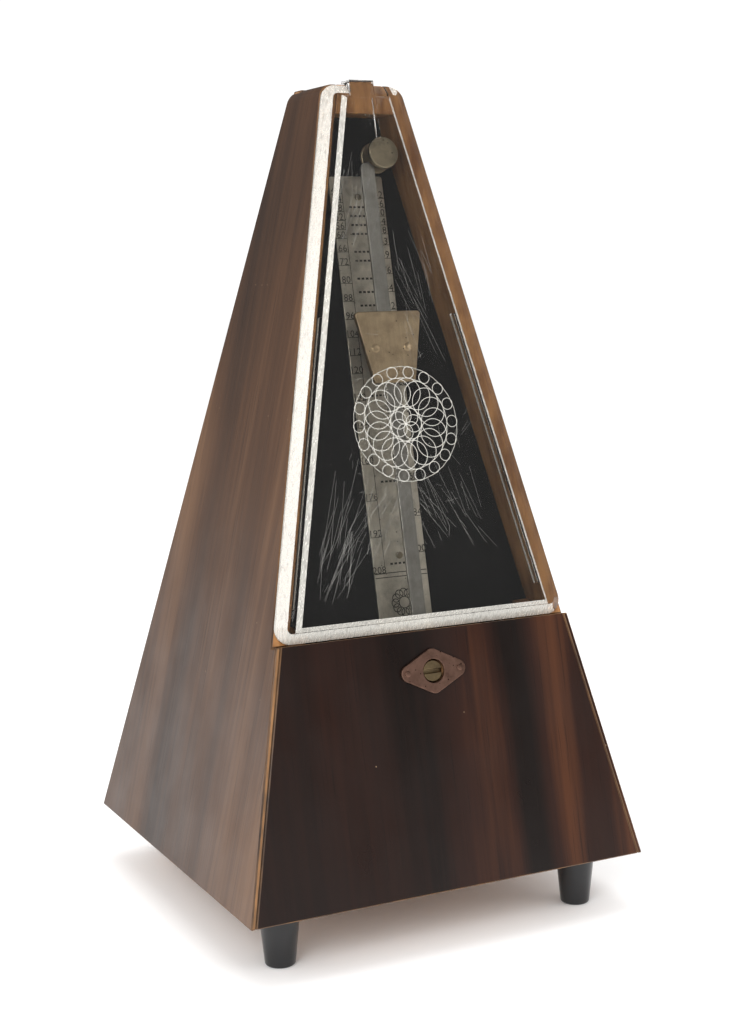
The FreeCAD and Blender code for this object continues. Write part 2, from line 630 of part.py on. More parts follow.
# ---------------------------------------------------------------- pendulum
def make_pendulum():
    """Rod, its screw, arbor, pallets, bob and the sliding weight."""
    pivot, depth, thick = size("pivot_height"), size("rod_depth"), size("rod_thickness")
    body = new_body("pendulum_rod")
    front = "-Sizes.rod_depth"
    bob_height = "Sizes.pivot_height - Sizes.bob_drop"
    pad(body, draw(body, "XZ_Plane", stadium(bob_height + " - 4", "Sizes.rod_top", "Sizes.rod_width / 2"),
                   lift=front), "Sizes.rod_thickness", True)
    round_edges(body, "Sizes.rod_width / 2 - 0.1", lambda e: upright(e) and e.Vertexes[0].Z > pivot)
    pad(body, draw(body, "XZ_Plane", circles=[("0", "Sizes.pivot_height", "4")], lift=front),
        "Sizes.rod_thickness", True)
    pocket(body, draw(body, "XZ_Plane", circles=[("0", "Sizes.pivot_height", "1.25"), ("0", bob_height, "1.5")],
                      lift=front))
    body.Placement = FACE
    keep("pendulum_rod", body)

    head = "Sizes.screw_head"
    profile = [("0", "0"), ("Sizes.screw_radius", "0"), ("Sizes.screw_radius", head), ("1.25", head),
               ("1.25", head + " + 5.5"), ("0", head + " + 6")]
    screw = turned("pendulum_screw", profile, on_face(0, depth - size("screw_head"), pivot, INTO_CASE))
    slot(screw, 6, 1.1, 1.1, 0)
    keep("pendulum_screw", screw)

    length = "Sizes.cock_depth + Sizes.plate_metal + 0.6 - Sizes.rod_depth - Sizes.rod_thickness"
    profile = [("1.25", "0"), ("3", "0"), ("3", "1.5"), ("Sizes.arbor_radius", "1.5"),
               ("Sizes.arbor_radius", length), ("0", length), ("0", "6"), ("1.25", "6")]
    keep("pendulum_arbor", turned("pendulum_arbor", profile, on_face(0, depth + thick, pivot, INTO_CASE)))

    profile = [("0", "0"), ("1.5", "0"), ("1.5", "Sizes.rod_thickness"),
               ("Sizes.bob_radius - 1", "Sizes.rod_thickness"),
               ("Sizes.bob_radius", "Sizes.rod_thickness + 1"),
               ("Sizes.bob_radius", "Sizes.rod_thickness + Sizes.bob_length - 1"),
               ("Sizes.bob_radius - 1", "Sizes.rod_thickness + Sizes.bob_length"),
               ("0", "Sizes.rod_thickness + Sizes.bob_length")]
    keep("pendulum_bob", turned("pendulum_bob", profile, on_face(0, depth, pivot - size("bob_drop"), INTO_CASE)))

    # a pallet is a hub on the arbor with one flag, the front one up and the rear one down
    for label, step, lift in (("front_pallet", -1, 1), ("rear_pallet", 1, -1)):
        middle = size("escape_depth") + step * (size("crown_radius") - 0.6)
        hub = rod(label + "_hub", "Sizes.arbor_radius + 0.8", 3, on_face(0, middle - 1.5, pivot, INTO_CASE))
        flag = box(label + "_flag", "Sizes.pallet_reach", 3, 0.8, Placement())
        flag.Placement = on_face(0, middle - 1.5, pivot, Rotation(V(0, 1, 0), -45 * lift)) * \
            Placement(V(0, 0, -0.4), Rotation())
        bore = rod(label + "_bore", "Sizes.arbor_radius", 6, on_face(0, middle - 3, pivot, INTO_CASE))
        keep(label, cut(label, joined(label + "_blank", [hub, flag]), [bore]))

    make_weight()


def make_weight():
    """Trapezoid weight: front plate, sprung clip behind the rod and two rivets."""
    low, tall = "Sizes.weight_height", "Sizes.weight_tall"
    rivet_height = "Sizes.weight_height + Sizes.weight_tall - Sizes.rivet_drop"
    plate_front = size("rod_depth") - size("door_gap") - size("weight_thickness")
    front = "-(Sizes.rod_depth - Sizes.door_gap - Sizes.weight_thickness)"
    plate = new_body("weight_plate")
    points = [("-Sizes.weight_bottom / 2", low), ("Sizes.weight_bottom / 2", low),
              ("Sizes.weight_top / 2", "%s + %s" % (low, tall)),
              ("-Sizes.weight_top / 2", "%s + %s" % (low, tall))]
    pad(plate, draw(plate, "XZ_Plane", points, lift=front), "Sizes.weight_thickness", True)
    round_edges(plate, "1.0", upright)
    pocket(plate, draw(plate, "XZ_Plane", circles=[("Sizes.rivet_side", rivet_height, "0.8"),
                                                   ("-Sizes.rivet_side", rivet_height, "0.8")], lift=front))
    plate.Placement = FACE
    keep("weight_plate", plate)

    clip = new_body("weight_clip_blank")
    sheet_metal, gap = 0.6, "Sizes.door_gap"
    inner = "Sizes.rod_width / 2 + 0.5"
    floor = "Sizes.rod_depth - %s" % gap
    behind = "Sizes.rod_depth + Sizes.rod_thickness + 0.4"
    right = [("%s + 4.4" % inner, floor), ("%s + 4.4" % inner, "%s + %s" % (floor, sheet_metal)),
             ("%s + %s" % (inner, sheet_metal), "%s + %s" % (floor, sheet_metal)),
             ("%s + %s" % (inner, sheet_metal), "%s + %s" % (behind, sheet_metal))]
    left = [("-(%s)" % x, y) for x, y in reversed(right)]
    points = right + left + [("-(%s)" % inner, floor), ("-(%s)" % inner, behind), (inner, behind), (inner, floor)]
    pad(clip, draw(clip, "XY_Plane", points, lift=rivet_height + " - 3.5"), "7")
    clip.Placement = FACE
    rivet_s = size("weight_height") + size("weight_tall") - size("rivet_drop")
    holes = [rod("clip_hole", "0.8", 4, on_face(side * size("rivet_side"), plate_front, rivet_s, INTO_CASE))
             for side in (-1, 1)]
    keep("weight_clip", cut("weight_clip", clip, holes))

    grip = "Sizes.weight_thickness + 0.6"
    rivets = []
    for side in (-1, 1):
        profile = [("0", "-0.25"), ("0.9", "-0.2"), ("1.25", "0"), ("0.8", "0"), ("0.8", grip),
                   ("1.25", grip), ("1.0", grip + " + 0.4"), ("0", grip + " + 0.5")]
        rivets.append(turned("weight_rivet", profile,
                             on_face(side * size("rivet_side"), plate_front, rivet_s, INTO_CASE)))
    keep("weight_rivets", group("weight_rivets", rivets))


# ---------------------------------------------------------------- gear outlines
def gear_face(module, teeth, phase, bore, addendum=0.85, play=0.14):
    """Flat gear with involute teeth, one tooth centred on the angle phase (radians)."""
    pressure = radians(22.5)
    pitch_radius = module * teeth / 2
    base_radius = pitch_radius * cos(pressure)
    tip = pitch_radius + addendum * module
    root = pitch_radius - 1.15 * module
    half_tooth = pi / (2 * teeth) - play * module / pitch_radius

    def involute(angle):
        return tan(angle) - angle

    def half_at(radius):
        """Half the angle of the tooth at a radius, constant below the base circle."""
        along = 0.0 if radius <= base_radius else sqrt((radius / base_radius) ** 2 - 1)
        return half_tooth + involute(pressure) - (along - atan(along))

    points = []
    for tooth in range(teeth):
        middle = phase + 2 * pi * tooth / teeth
        radii = [root, max(root, min(base_radius, pitch_radius)), pitch_radius, (pitch_radius + tip) / 2, tip]
        if radii[1] - radii[0] < 1e-3:
            radii = radii[1:]
        flank = [(r, half_at(r)) for r in radii]
        for radius, half in flank:
            points.append(V(radius * cos(middle - half), radius * sin(middle - half), 0))
        for radius, half in reversed(flank):
            points.append(V(radius * cos(middle + half), radius * sin(middle + half), 0))
    blank = Part.Face(Part.makePolygon(points + points[:1]))
    return blank.cut(Part.Face(bore)) if bore else blank


def round_bore(radius):
    return Part.Wire(Part.makeCircle(radius))


def square_bore(side):
    h = side / 2
    return Part.makePolygon([V(-h, -h, 0), V(h, -h, 0), V(h, h, 0), V(-h, h, 0), V(-h, -h, 0)])


def shaped(name, shape, place):
    """A piece whose outline follows a formula."""
    obj = doc.addObject("Part::Feature", name)
    obj.Shape = shape
    obj.Placement = place
    return obj


def meet(a, b, ra, rb):
    """The lower of the points at distances ra from a and rb from b. Points are (y, z)."""
    gap = sqrt((b[0] - a[0]) ** 2 + (b[1] - a[1]) ** 2)
    along = (ra ** 2 - rb ** 2 + gap ** 2) / (2 * gap)
    aside = sqrt(ra ** 2 - along ** 2)
    uy, uz = (b[0] - a[0]) / gap, (b[1] - a[1]) / gap
    found = [(a[0] + along * uy + sign * aside * uz, a[1] + along * uz - sign * aside * uy)
             for sign in (-1, 1)]
    return min(found, key=lambda p: p[1])


def spin_angle(start, end):
    """Direction from one arbor to another, about +X with local X down and local Y back."""
    return atan2(end[0] - start[0], -(end[1] - start[1]))


# ---------------------------------------------------------------- movement
BARREL = (size("barrel_back"), size("barrel_height"))
ESCAPE = face_to_yz(size("escape_depth"), size("pivot_height"))
GREAT_CENTRES = size("great_module") * (GREAT_TEETH + SECOND_PINION_TEETH) / 2
SECOND_CENTRES = size("second_module") * (SECOND_TEETH + ESCAPE_PINION_TEETH) / 2
SECOND = meet(BARREL, ESCAPE, GREAT_CENTRES, SECOND_CENTRES)
INNER_LEFT = size("frame_left") + size("plate_metal")
INNER_RIGHT = size("frame_right") - size("plate_metal")
PILLARS = [(-24.0, 27.0), (33.0, 27.0), (-20.0, 76.0), (31.0, 76.0)]


def at_x(x, centre):
    """Placement with local Z along +X, on an arbor's axis."""
    return Placement(V(x, centre[0], centre[1]), ALONG_X)


def make_frame():
    """Two plates, pillars, screws, the bearing bridge, the rear cock and the escape cock."""
    floor = size("foot_height") + size("base_thickness")
    metal = size("plate_metal")
    pivots = {"barrel": (BARREL, None), "second": (SECOND, "0.85"), "escape": (ESCAPE, "0.85")}

    def bridge_box(name, d, x0, x1, s0, s1):
        return box(name, x1 - x0, "Sizes.plate_metal", s1 - s0, on_face(x0, d, s0))

    bridge_s = (size("pivot_height") - 3.9, size("pivot_height") + 4.1)

    def bridge(name):
        return bridge_box(name, size("bridge_depth"), size("frame_left"), size("frame_right"), *bridge_s)

    def cock(name):
        return bridge_box(name, size("cock_depth"), size("frame_left"), 4, bridge_s[0] + 0.5, bridge_s[1])

    for side, label, outer in ((-1, "movement_left_plate", size("frame_left")),
                               (1, "movement_right_plate", size("frame_right"))):
        x0 = outer if side < 0 else outer - metal
        body = new_body(label + "_sheet")
        outline = [("-29", str(floor)), ("38", str(floor)),
                   ("36", "Sizes.plate_top"), ("-25.5", "Sizes.plate_top")]
        pad(body, draw(body, "YZ_Plane", outline, lift=str(x0)), "Sizes.plate_metal")
        lug_x = outer - size("lug_width") if side < 0 else outer
        lug = box(label + "_lug", "Sizes.lug_width", 60, "Sizes.plate_metal",
                  Placement(V(lug_x, -25, floor), Rotation()))
        tools = []
        for name, (centre, radius) in pivots.items():
            bore = radius or ("2.05" if side < 0 else "2.55")
            tools.append(rod(label + "_" + name, bore, 10, at_x(x0 - 4, centre)))
        for spot in PILLARS:
            tools.append(rod(label + "_pillar", "1.2", 10, at_x(x0 - 4, spot)))
        for x, y in lug_spots():
            tools.append(rod(label + "_lug_hole", "0.9", 4, Placement(V(x, y, floor - 1), Rotation())))
        tools.append(bridge(label + "_bridge_slot"))
        if side < 0:
            tools.append(cock(label + "_cock_slot"))
        else:
            tools.append(rod(label + "_click", "1.0", 10, at_x(x0 - 4, CLICK)))
            tools.append(rod(label + "_spring", "0.8", 10, at_x(x0 - 4, SPRING_POST)))
        keep(label, cut(label, joined(label + "_bent", [body, lug]), tools))

    span = INNER_RIGHT - INNER_LEFT
    pillars, screws = [], []
    for spot in PILLARS:
        profile = [("1.2", "0"), ("Sizes.pillar_radius", "0"), ("Sizes.pillar_radius", str(span)),
                   ("1.2", str(span)), ("1.2", str(span - 4)), ("0", str(span - 4)), ("0", "4"), ("1.2", "4")]
        pillars.append(turned("pillar", profile, at_x(INNER_LEFT, spot)))
        for side in (-1, 1):
            profile = [("0", "0"), ("2.3", "0"), ("2.3", "1.4"), ("1.2", "1.4"),
                       ("1.2", "1.4 + Sizes.plate_metal + 3.5"), ("0", "1.4 + Sizes.plate_metal + 3.8")]
            outer = size("frame_left") - 1.4 if side < 0 else size("frame_right") + 1.4
            turn = ALONG_X if side < 0 else Rotation(V(0, 1, 0), -90)
            screw = turned("pillar_screw", profile, Placement(V(outer, spot[0], spot[1]), turn))
            slot(screw, 6, 0.7, 0.6, 0)
            screws.append(screw)
    keep("plate_pillars", group("plate_pillars", pillars))
    keep("pillar_screws", group("pillar_screws", screws))

    screws = []
    for x, y in lug_spots():
        profile = [("0", "-1.4"), ("2", "-1.4"), ("2", "0"), ("0.9", "0"), ("0.9", "5"), ("0", "5.5")]
        screw = turned("movement_screw", profile, Placement(V(x, y, floor + metal), Rotation(V(1, 0, 0), 180)))
        slot(screw, 6, 0.7, 0.6, -1.4)
        screws.append(screw)
    keep("movement_screws", group("movement_screws", screws))

    arbor_hole = "Sizes.arbor_radius + Sizes.turning_gap"
    hole = rod("bridge_hole", arbor_hole, 6, on_face(0, size("bridge_depth") - 2, size("pivot_height"), INTO_CASE))
    keep("front_bridge", cut("front_bridge", bridge("front_bridge_bar"), [hole]))
    hole = rod("cock_hole", arbor_hole, 6, on_face(0, size("cock_depth") - 2, size("pivot_height"), INTO_CASE))
    keep("rear_cock", cut("rear_cock", cock("rear_cock_bar"), [hole]))

    cock_x = ESCAPE_COCK_X
    sheet_box = box("escape_cock_sheet", "Sizes.plate_metal", 23, 20, on_face(cock_x, 18.5, 51))
    tools = [rod("escape_cock_pivot", "1.05", 8, at_x(cock_x - 3, ESCAPE)),
             rod("escape_cock_pillar", "Sizes.pillar_radius", 8, at_x(cock_x - 3, PILLARS[2])),
             bridge("escape_cock_slot")]
    keep("escape_cock", cut("escape_cock", sheet_box, tools))


GREAT_X = 21.0
SECOND_WHEEL_X = 8.0
ESCAPE_PINION_X = 7.3
ESCAPE_COCK_X = 11.0
CROWN_X = 2.9
RATCHET_X = size("frame_right") + 0.6
CLICK = (BARREL[0] - 9.2, BARREL[1] + 9.6)
SPRING_POST = (BARREL[0] - 16.0, BARREL[1] + 16.0)


def make_train():
    """Barrel with its spring, the second arbor and the escape arbor."""
    great_module, second_module = size("great_module"), size("second_module")
    phase = spin_angle(BARREL, SECOND)
    disc = shaped("great_teeth", gear_face(great_module, GREAT_TEETH, phase, None).extrude(V(0, 0, 2)),
                  at_x(GREAT_X, BARREL))
    drum_x = GREAT_X - size("barrel_length")
    drum = rod("barrel_drum", "Sizes.barrel_radius", "Sizes.barrel_length", at_x(drum_x, BARREL))
    hollow = rod("barrel_hollow", "Sizes.barrel_radius - 1.2", "Sizes.barrel_length", at_x(drum_x, BARREL))
    bore = rod("barrel_bore", "3 + Sizes.turning_gap", 20, at_x(drum_x, BARREL))
    keep("barrel", cut("barrel", joined("barrel_blank", [disc, drum]), [hollow, bore]))
    lid = rod("barrel_cover_disc", "Sizes.barrel_radius - 1.2", 1.2, at_x(drum_x, BARREL))
    lid_bore = rod("barrel_cover_bore", "3 + Sizes.turning_gap", 20, at_x(drum_x - 2, BARREL))
    keep("barrel_cover", cut("barrel_cover", lid, [lid_bore]))
    keep("mainspring", shaped("mainspring", spring_shape(), at_x(drum_x + 1.5, BARREL)))

    # barrel arbor: left pivot, body, right pivot, square for the ratchet and the key
    start, end = size("frame_left") - 0.4, KEY_X + 5
    shoulder = INNER_RIGHT - 0.2 - start
    profile = [("0", "0"), ("2", "0"), ("2", str(INNER_LEFT + 0.3 - start)), ("3", str(INNER_LEFT + 0.3 - start)),
               ("3", str(shoulder)), ("2.5", str(shoulder)), ("2.5", str(size("frame_right") + 0.2 - start)),
               ("0", str(size("frame_right") + 0.2 - start))]
    shaft = turned("barrel_arbor_shaft", profile, at_x(start, BARREL))
    side = size("square")
    tail = box("barrel_arbor_square", "Sizes.square", "Sizes.square", end - size("frame_right"),
               at_x(size("frame_right"), BARREL) * Placement(V(-side / 2, -side / 2, 0), Rotation()))
    keep("barrel_arbor", joined("barrel_arbor", [shaft, tail]))

    # second arbor
    second_phase = spin_angle(SECOND, BARREL) + pi / SECOND_PINION_TEETH
    pinion = gear_face(great_module, SECOND_PINION_TEETH, second_phase, round_bore(1.2)).extrude(V(0, 0, 3))
    keep("second_pinion", shaped("second_pinion", pinion, at_x(GREAT_X - 0.5, SECOND)))
    wheel_phase = spin_angle(SECOND, ESCAPE)
    wheel = gear_face(second_module, SECOND_TEETH, wheel_phase, round_bore(1.2)).extrude(V(0, 0, 1.2))
    wheel = wheel.cut(wheel_windows(5, 5.0, 12.6, 1.2))
    keep("second_wheel", shaped("second_wheel", wheel, at_x(SECOND_WHEEL_X, SECOND)))
    keep("second_arbor", arbor("second_arbor", SECOND, "1.2", size("frame_left") - 0.3,
                               size("frame_right") + 0.3, INNER_LEFT + 0.3, INNER_RIGHT - 0.3))

    # escape arbor
    escape_phase = spin_angle(ESCAPE, SECOND) + pi / ESCAPE_PINION_TEETH
    pinion = gear_face(second_module, ESCAPE_PINION_TEETH, escape_phase, round_bore(1.0)).extrude(V(0, 0, 2.6))
    keep("escape_pinion", shaped("escape_pinion", pinion, at_x(ESCAPE_PINION_X, ESCAPE)))
    keep("escape_arbor", arbor("escape_arbor", ESCAPE, "1.0", CROWN_X + 1.2, size("frame_right") + 0.3,
                               CROWN_X + 1.2, INNER_RIGHT - 0.3))
    keep("escape_wheel", shaped("escape_wheel", crown_shape(), at_x(CROWN_X, ESCAPE)))


def arbor(name, centre, radius, start, end, body_start, body_end):
    """A thin arbor with a pivot at one or both ends."""
    a, b, length = body_start - start, body_end - start, end - start
    pivot = [("0", "0"), ("0.8", "0"), ("0.8", str(a)), (radius, str(a))]
    profile = pivot if a > 0 else [("0", "0"), (radius, "0")]
    profile += [(radius, str(b)), ("0.8", str(b)), ("0.8", str(length)), ("0", str(length))]
    return turned(name, profile, at_x(start, centre))


def wheel_windows(count, inner, outer, thickness):
    """The openings between a wheel's spokes."""
    windows = []
    half = pi / count - 0.16
    for i in range(count):
        middle = 2 * pi * i / count
        a, b = middle - half, middle + half
        trim = 0.5 * (1 - inner / outer) * 0.3
        edges = [
            Part.Arc(V(outer * cos(a), outer * sin(a), 0), V(outer * cos(middle), outer * sin(middle), 0),
                     V(outer * cos(b), outer * sin(b), 0)).toShape(),
            Part.makeLine(V(outer * cos(b), outer * sin(b), 0),
                          V(inner * cos(b - trim), inner * sin(b - trim), 0)),
            Part.Arc(V(inner * cos(b - trim), inner * sin(b - trim), 0),
                     V(inner * cos(middle), inner * sin(middle), 0),
                     V(inner * cos(a + trim), inner * sin(a + trim), 0)).toShape(),
            Part.makeLine(V(inner * cos(a + trim), inner * sin(a + trim), 0),
                          V(outer * cos(a), outer * sin(a), 0))]
        windows.append(Part.Face(Part.Wire(edges)).extrude(V(0, 0, thickness)))
    return Part.makeCompound(windows)


def crown_shape():
    """Escape wheel: a cup with saw teeth on its rim, pointing at the pendulum arbor."""
    outer = size("crown_radius")
    inner, tooth, rim, web = outer - 1.1, 1.5, 4.1, 0.8
    shape = Part.makeCylinder(outer, rim - tooth, V(0, 0, tooth))
    shape = shape.cut(Part.makeCylinder(inner, rim - tooth - web, V(0, 0, tooth)))
    pitch = 2 * pi / CROWN_TEETH
    teeth = []
    for i in range(CROWN_TEETH):
        a = i * pitch
        reach = (outer + 0.6) / cos(pitch / 2)
        start = V(reach * cos(a), reach * sin(a), 0)
        end = V(reach * cos(a + pitch), reach * sin(a + pitch), 0)
        rise = V(0, 0, tooth + 0.3)
        tip_low, tip_high = start * 1.0, start + (end - start) * 0.12
        low_a, low_b = start + rise, end + rise
        outline = Part.makePolygon([tip_low, tip_high, low_b, low_a, tip_low])
        teeth.append(Part.Face(outline))
    ring = Part.makeCylinder(outer, tooth + 0.3).cut(Part.makeCylinder(inner, tooth + 0.3))
    solids = []
    for face in teeth:
        points = [v.Point for v in face.OuterWire.OrderedVertexes]
        inner_points = [V(p.x * 0.5, p.y * 0.5, p.z) for p in points]
        loft = Part.makeLoft([Part.makePolygon(points + points[:1]),
                              Part.makePolygon(inner_points + inner_points[:1])], True, True)
        solids.append(loft.common(ring))
    shape = shape.fuse(solids).removeSplitter()
    hub = Part.makeCylinder(2.2, 2.0, V(0, 0, rim - web - 1.0))
    windows = wheel_windows(4, 3.4, inner - 1.0, rim + 1)
    shape = shape.fuse(hub).cut(windows)
    return shape.cut(Part.makeCylinder(1.0, rim + 2)).removeSplitter()


def spring_shape():
    """Mainspring: a flat strip wound in half-circle turns."""
    inner, outer, thickness = 3.1, size("barrel_radius") - 1.4, 0.45
    width = size("barrel_length") - 2.5
    turns = 9
    step = (outer - inner - thickness) / (2 * turns)

    def side(offset):
        edges, radius, x, sign = [], inner + offset, 0.0, 1
        start = V(radius, 0, 0)
        for i in range(2 * turns):
            end = V(start.x - sign * (2 * radius), 0, 0)
            middle = V((start.x + end.x) / 2, sign * radius, 0)
            edges.append(Part.Arc(start, middle, end).toShape())
            start, radius, sign = end, radius + step, -sign
        return edges, V(inner + offset, 0, 0), start

    inner_edges, inner_start, inner_end = side(0.0)
    outer_edges, outer_start, outer_end = side(thickness)
    outer_end_line = Part.makeLine(inner_end, outer_end)
    start_line = Part.makeLine(inner_start, outer_start)
    wire = Part.Wire(Part.__sortEdges__(inner_edges + [outer_end_line] + outer_edges + [start_line]))
    return Part.Face(wire).extrude(V(0, 0, width))


# ---------------------------------------------------------------- winding
KEY_X = size("base_side") / 2 - SLOPE * (size("barrel_height") - size("foot_height")) + 1.6


def make_winding():
    """Ratchet wheel, click, click spring, key plate and winding key."""
    radius, depth = 8.0, 1.1
    points = []
    for i in range(RATCHET_TEETH):
        a = 2 * pi * i / RATCHET_TEETH
        b = 2 * pi * (i + 0.93) / RATCHET_TEETH
        points.append(V(radius * cos(a), radius * sin(a), 0))
        points.append(V((radius - depth) * cos(b), (radius - depth) * sin(b), 0))
    face = Part.Face(Part.makePolygon(points + points[:1])).cut(Part.Face(square_bore(size("square"))))
    keep("ratchet_wheel", shaped("ratchet_wheel", face.extrude(V(0, 0, 1.5)), at_x(RATCHET_X, BARREL)))

    # the click points from its screw at the ratchet's rim; local X runs towards the barrel
    away = sqrt((BARREL[0] - CLICK[0]) ** 2 + (BARREL[1] - CLICK[1]) ** 2)
    reach = away - radius - 0.35
    body = new_body("click")
    points = [("-2.2", "-2.2"), ("2.2", "-2.2"), (str(reach), "-0.4"), (str(reach), "0.9"), ("1.5", "2.4"),
              ("-2.2", "2.2")]
    pad(body, draw(body, "XY_Plane", points, circles=[("0", "0", "1.35")]), "1.5")
    aim = degrees(spin_angle(CLICK, BARREL))
    body.Placement = at_x(RATCHET_X, CLICK) * Placement(V(0, 0, 0), Rotation(V(0, 0, 1), aim))
    keep("click", body)

    profile = [("0", "0"), ("1.0", "0"), ("1.0", "1.5"), ("1.3", "1.5"), ("1.3", "3.8"), ("2.4", "3.8"),
               ("2.4", "4.8"), ("0", "4.8")]
    screw = turned("click_screw", profile, at_x(size("frame_right") - 1.5, CLICK))
    slot(screw, 6, 0.6, 0.5, 4.3)
    keep("click_screw", screw)

    # a post with a leaf that bears on the click's back
    post = rod("click_spring_post", "0.8", 3.6, at_x(size("frame_right") - 1.2, SPRING_POST))
    leaf = box("click_spring_leaf", 0.4, 8.4, 1.5, at_x(RATCHET_X, SPRING_POST)
               * Placement(V(0, 0, 0), Rotation(V(0, 0, 1), aim - 90 - 12)) * Placement(V(0.5, 0, 0), Rotation()))
    keep("click_spring", joined("click_spring", [post, leaf]))

    # round plate on the leaning right side
    lean_out = Rotation(V(0, 1, 0), 90 - degrees(LEAN))
    rise = size("barrel_height") - size("foot_height")
    wall_x = size("base_side") / 2 - SLOPE * rise
    place = Placement(V(wall_x, size("barrel_back"), size("barrel_height")), lean_out)
    disc = rod("key_plate_disc", "8", "Sizes.plate_sheet", place)
    opening = rod("key_plate_opening", "Sizes.square / 2 + 2", 40,
                  Placement(V(30, size("barrel_back"), size("barrel_height")), ALONG_X))
    keep("key_plate", cut("key_plate", disc, [opening]))

    # key: socket with two wings
    socket = rod("key_socket", "3.4", 5, at_x(KEY_X, BARREL))
    key = new_body("key_wings")
    half = "Sizes.key_span / 2"
    points = [("-(%s)" % half, "6.0"), ("-(%s)" % half, "0.8"), ("-4", "0.6"), ("4", "0.6"),
              (half, "0.8"), (half, "6.0"), ("4.5", "4.8"), ("-4.5", "4.8")]
    pad(key, draw(key, "XZ_Plane", points, lift="-1.1"), "2.2")
    round_edges(key, "1.5", lambda e: upright(e) and abs(e.Vertexes[0].X) > size("key_span") / 2 - 0.1)
    key.Placement = at_x(KEY_X + 2.2, BARREL) * Placement(V(0, 0, 0), Rotation(V(0, 0, 1), 62))
    side = size("square")
    square = box("key_square", "Sizes.square", "Sizes.square", 5,
                 at_x(KEY_X, BARREL) * Placement(V(-side / 2, -side / 2, 0), Rotation()))
    keep("winding_key", cut("winding_key", joined("winding_key_blank", [socket, key]), [square]))


# ---------------------------------------------------------------- build, check, write
make_case()
make_door()
make_dial()
make_escutcheon()
make_pendulum()
make_frame()
make_train()
make_winding()
doc.recompute()

faults = []
for obj in doc.Objects:
    if "Invalid" in obj.State or "Error" in obj.State:
        faults.append("%s: %s" % (obj.Label, obj.State))
for obj in nodes:
    if obj.Shape.isNull() or not obj.Shape.isValid() or obj.Shape.Volume <= 0:
        faults.append("%s has no sound shape" % obj.Label)
if faults:
    raise RuntimeError("; ".join(faults))

os.makedirs("parts", exist_ok=True)
for obj in nodes:
    obj.Shape.exportStep("parts/%s.step" % obj.Label)
    print("%-22s solids %d  volume %.1f" % (obj.Label, len(obj.Shape.Solids), obj.Shape.Volume))
print(len(nodes), "nodes")
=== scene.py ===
"""Looks of a mechanical metronome: veneered case, clear door, printed scale, brass weight and studio."""
import json
from math import asin, cos, radians, sin

import bmesh
import bpy
from bpy.props import FloatProperty, FloatVectorProperty, IntProperty, PointerProperty
from mathutils import Matrix, Vector

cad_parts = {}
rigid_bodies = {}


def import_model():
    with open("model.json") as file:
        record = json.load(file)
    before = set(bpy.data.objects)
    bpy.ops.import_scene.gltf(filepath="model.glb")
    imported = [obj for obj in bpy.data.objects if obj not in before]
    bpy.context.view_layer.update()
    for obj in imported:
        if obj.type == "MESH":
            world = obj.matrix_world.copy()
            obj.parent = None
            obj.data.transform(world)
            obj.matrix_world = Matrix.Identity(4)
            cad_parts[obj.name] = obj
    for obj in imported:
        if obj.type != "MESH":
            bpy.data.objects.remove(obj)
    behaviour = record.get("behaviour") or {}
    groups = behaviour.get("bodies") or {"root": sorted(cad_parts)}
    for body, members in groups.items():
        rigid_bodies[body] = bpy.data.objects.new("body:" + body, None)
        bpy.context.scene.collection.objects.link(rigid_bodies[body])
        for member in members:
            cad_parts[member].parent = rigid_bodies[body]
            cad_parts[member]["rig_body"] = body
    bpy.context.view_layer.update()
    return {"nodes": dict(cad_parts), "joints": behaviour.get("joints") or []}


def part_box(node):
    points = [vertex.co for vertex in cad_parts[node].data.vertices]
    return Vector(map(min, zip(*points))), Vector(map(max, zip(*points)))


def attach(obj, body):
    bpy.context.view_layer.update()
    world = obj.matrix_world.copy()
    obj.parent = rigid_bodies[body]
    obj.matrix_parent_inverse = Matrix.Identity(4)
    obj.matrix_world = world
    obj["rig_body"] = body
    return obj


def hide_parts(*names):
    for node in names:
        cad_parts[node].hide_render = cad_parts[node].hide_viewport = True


bl_info = {
    "name": "Metronome looks",
    "version": (1, 0, 0),
    "blender": (4, 5, 0),
    "location": "3D View > Sidebar > Metronome",
    "description": "Builds the visible pieces and finishes of a mechanical metronome",
    "category": "Object",
}

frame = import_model()
MM = 0.001
BROAD = 60 * MM * MM  # flat faces larger than this are shaded flat

# ---------------------------------------------------------------- places read from the frame
CASE_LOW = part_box("left_side_panel")[0]
FOOT_HEIGHT = CASE_LOW.z
SLIDE = next(j for j in frame["joints"] if j["name"] == "weight_slide")["axis"]
LEAN = asin(SLIDE[1])
UPRIGHT = Matrix.Rotation(radians(90), 4, "X")
FACE = Matrix.Translation((0, CASE_LOW.y, FOOT_HEIGHT)) @ Matrix.Rotation(-LEAN, 4, "X")
DOOR_MIDDLE = -1.2 * MM  # front of the door's raised middle, in the leaning face's frame
DOOR_PLATE_BACK = 2.4 * MM


def face_box(node):
    """Lowest and highest corner of a CAD node in the leaning face's frame: x, depth, height up the slope."""
    turn = FACE.inverted()
    points = [turn @ v.co for v in frame["nodes"][node].data.vertices]
    return (Vector(min(p[i] for p in points) for i in range(3)),
            Vector(max(p[i] for p in points) for i in range(3)))


# ---------------------------------------------------------------- settings
def length(name, value, text):
    return FloatProperty(name=name, default=value, min=0, unit="LENGTH", description=text)


def colour(name, value, text):
    return FloatVectorProperty(name=name, default=value, size=3, min=0, max=1, subtype="COLOR",
                               description=text)


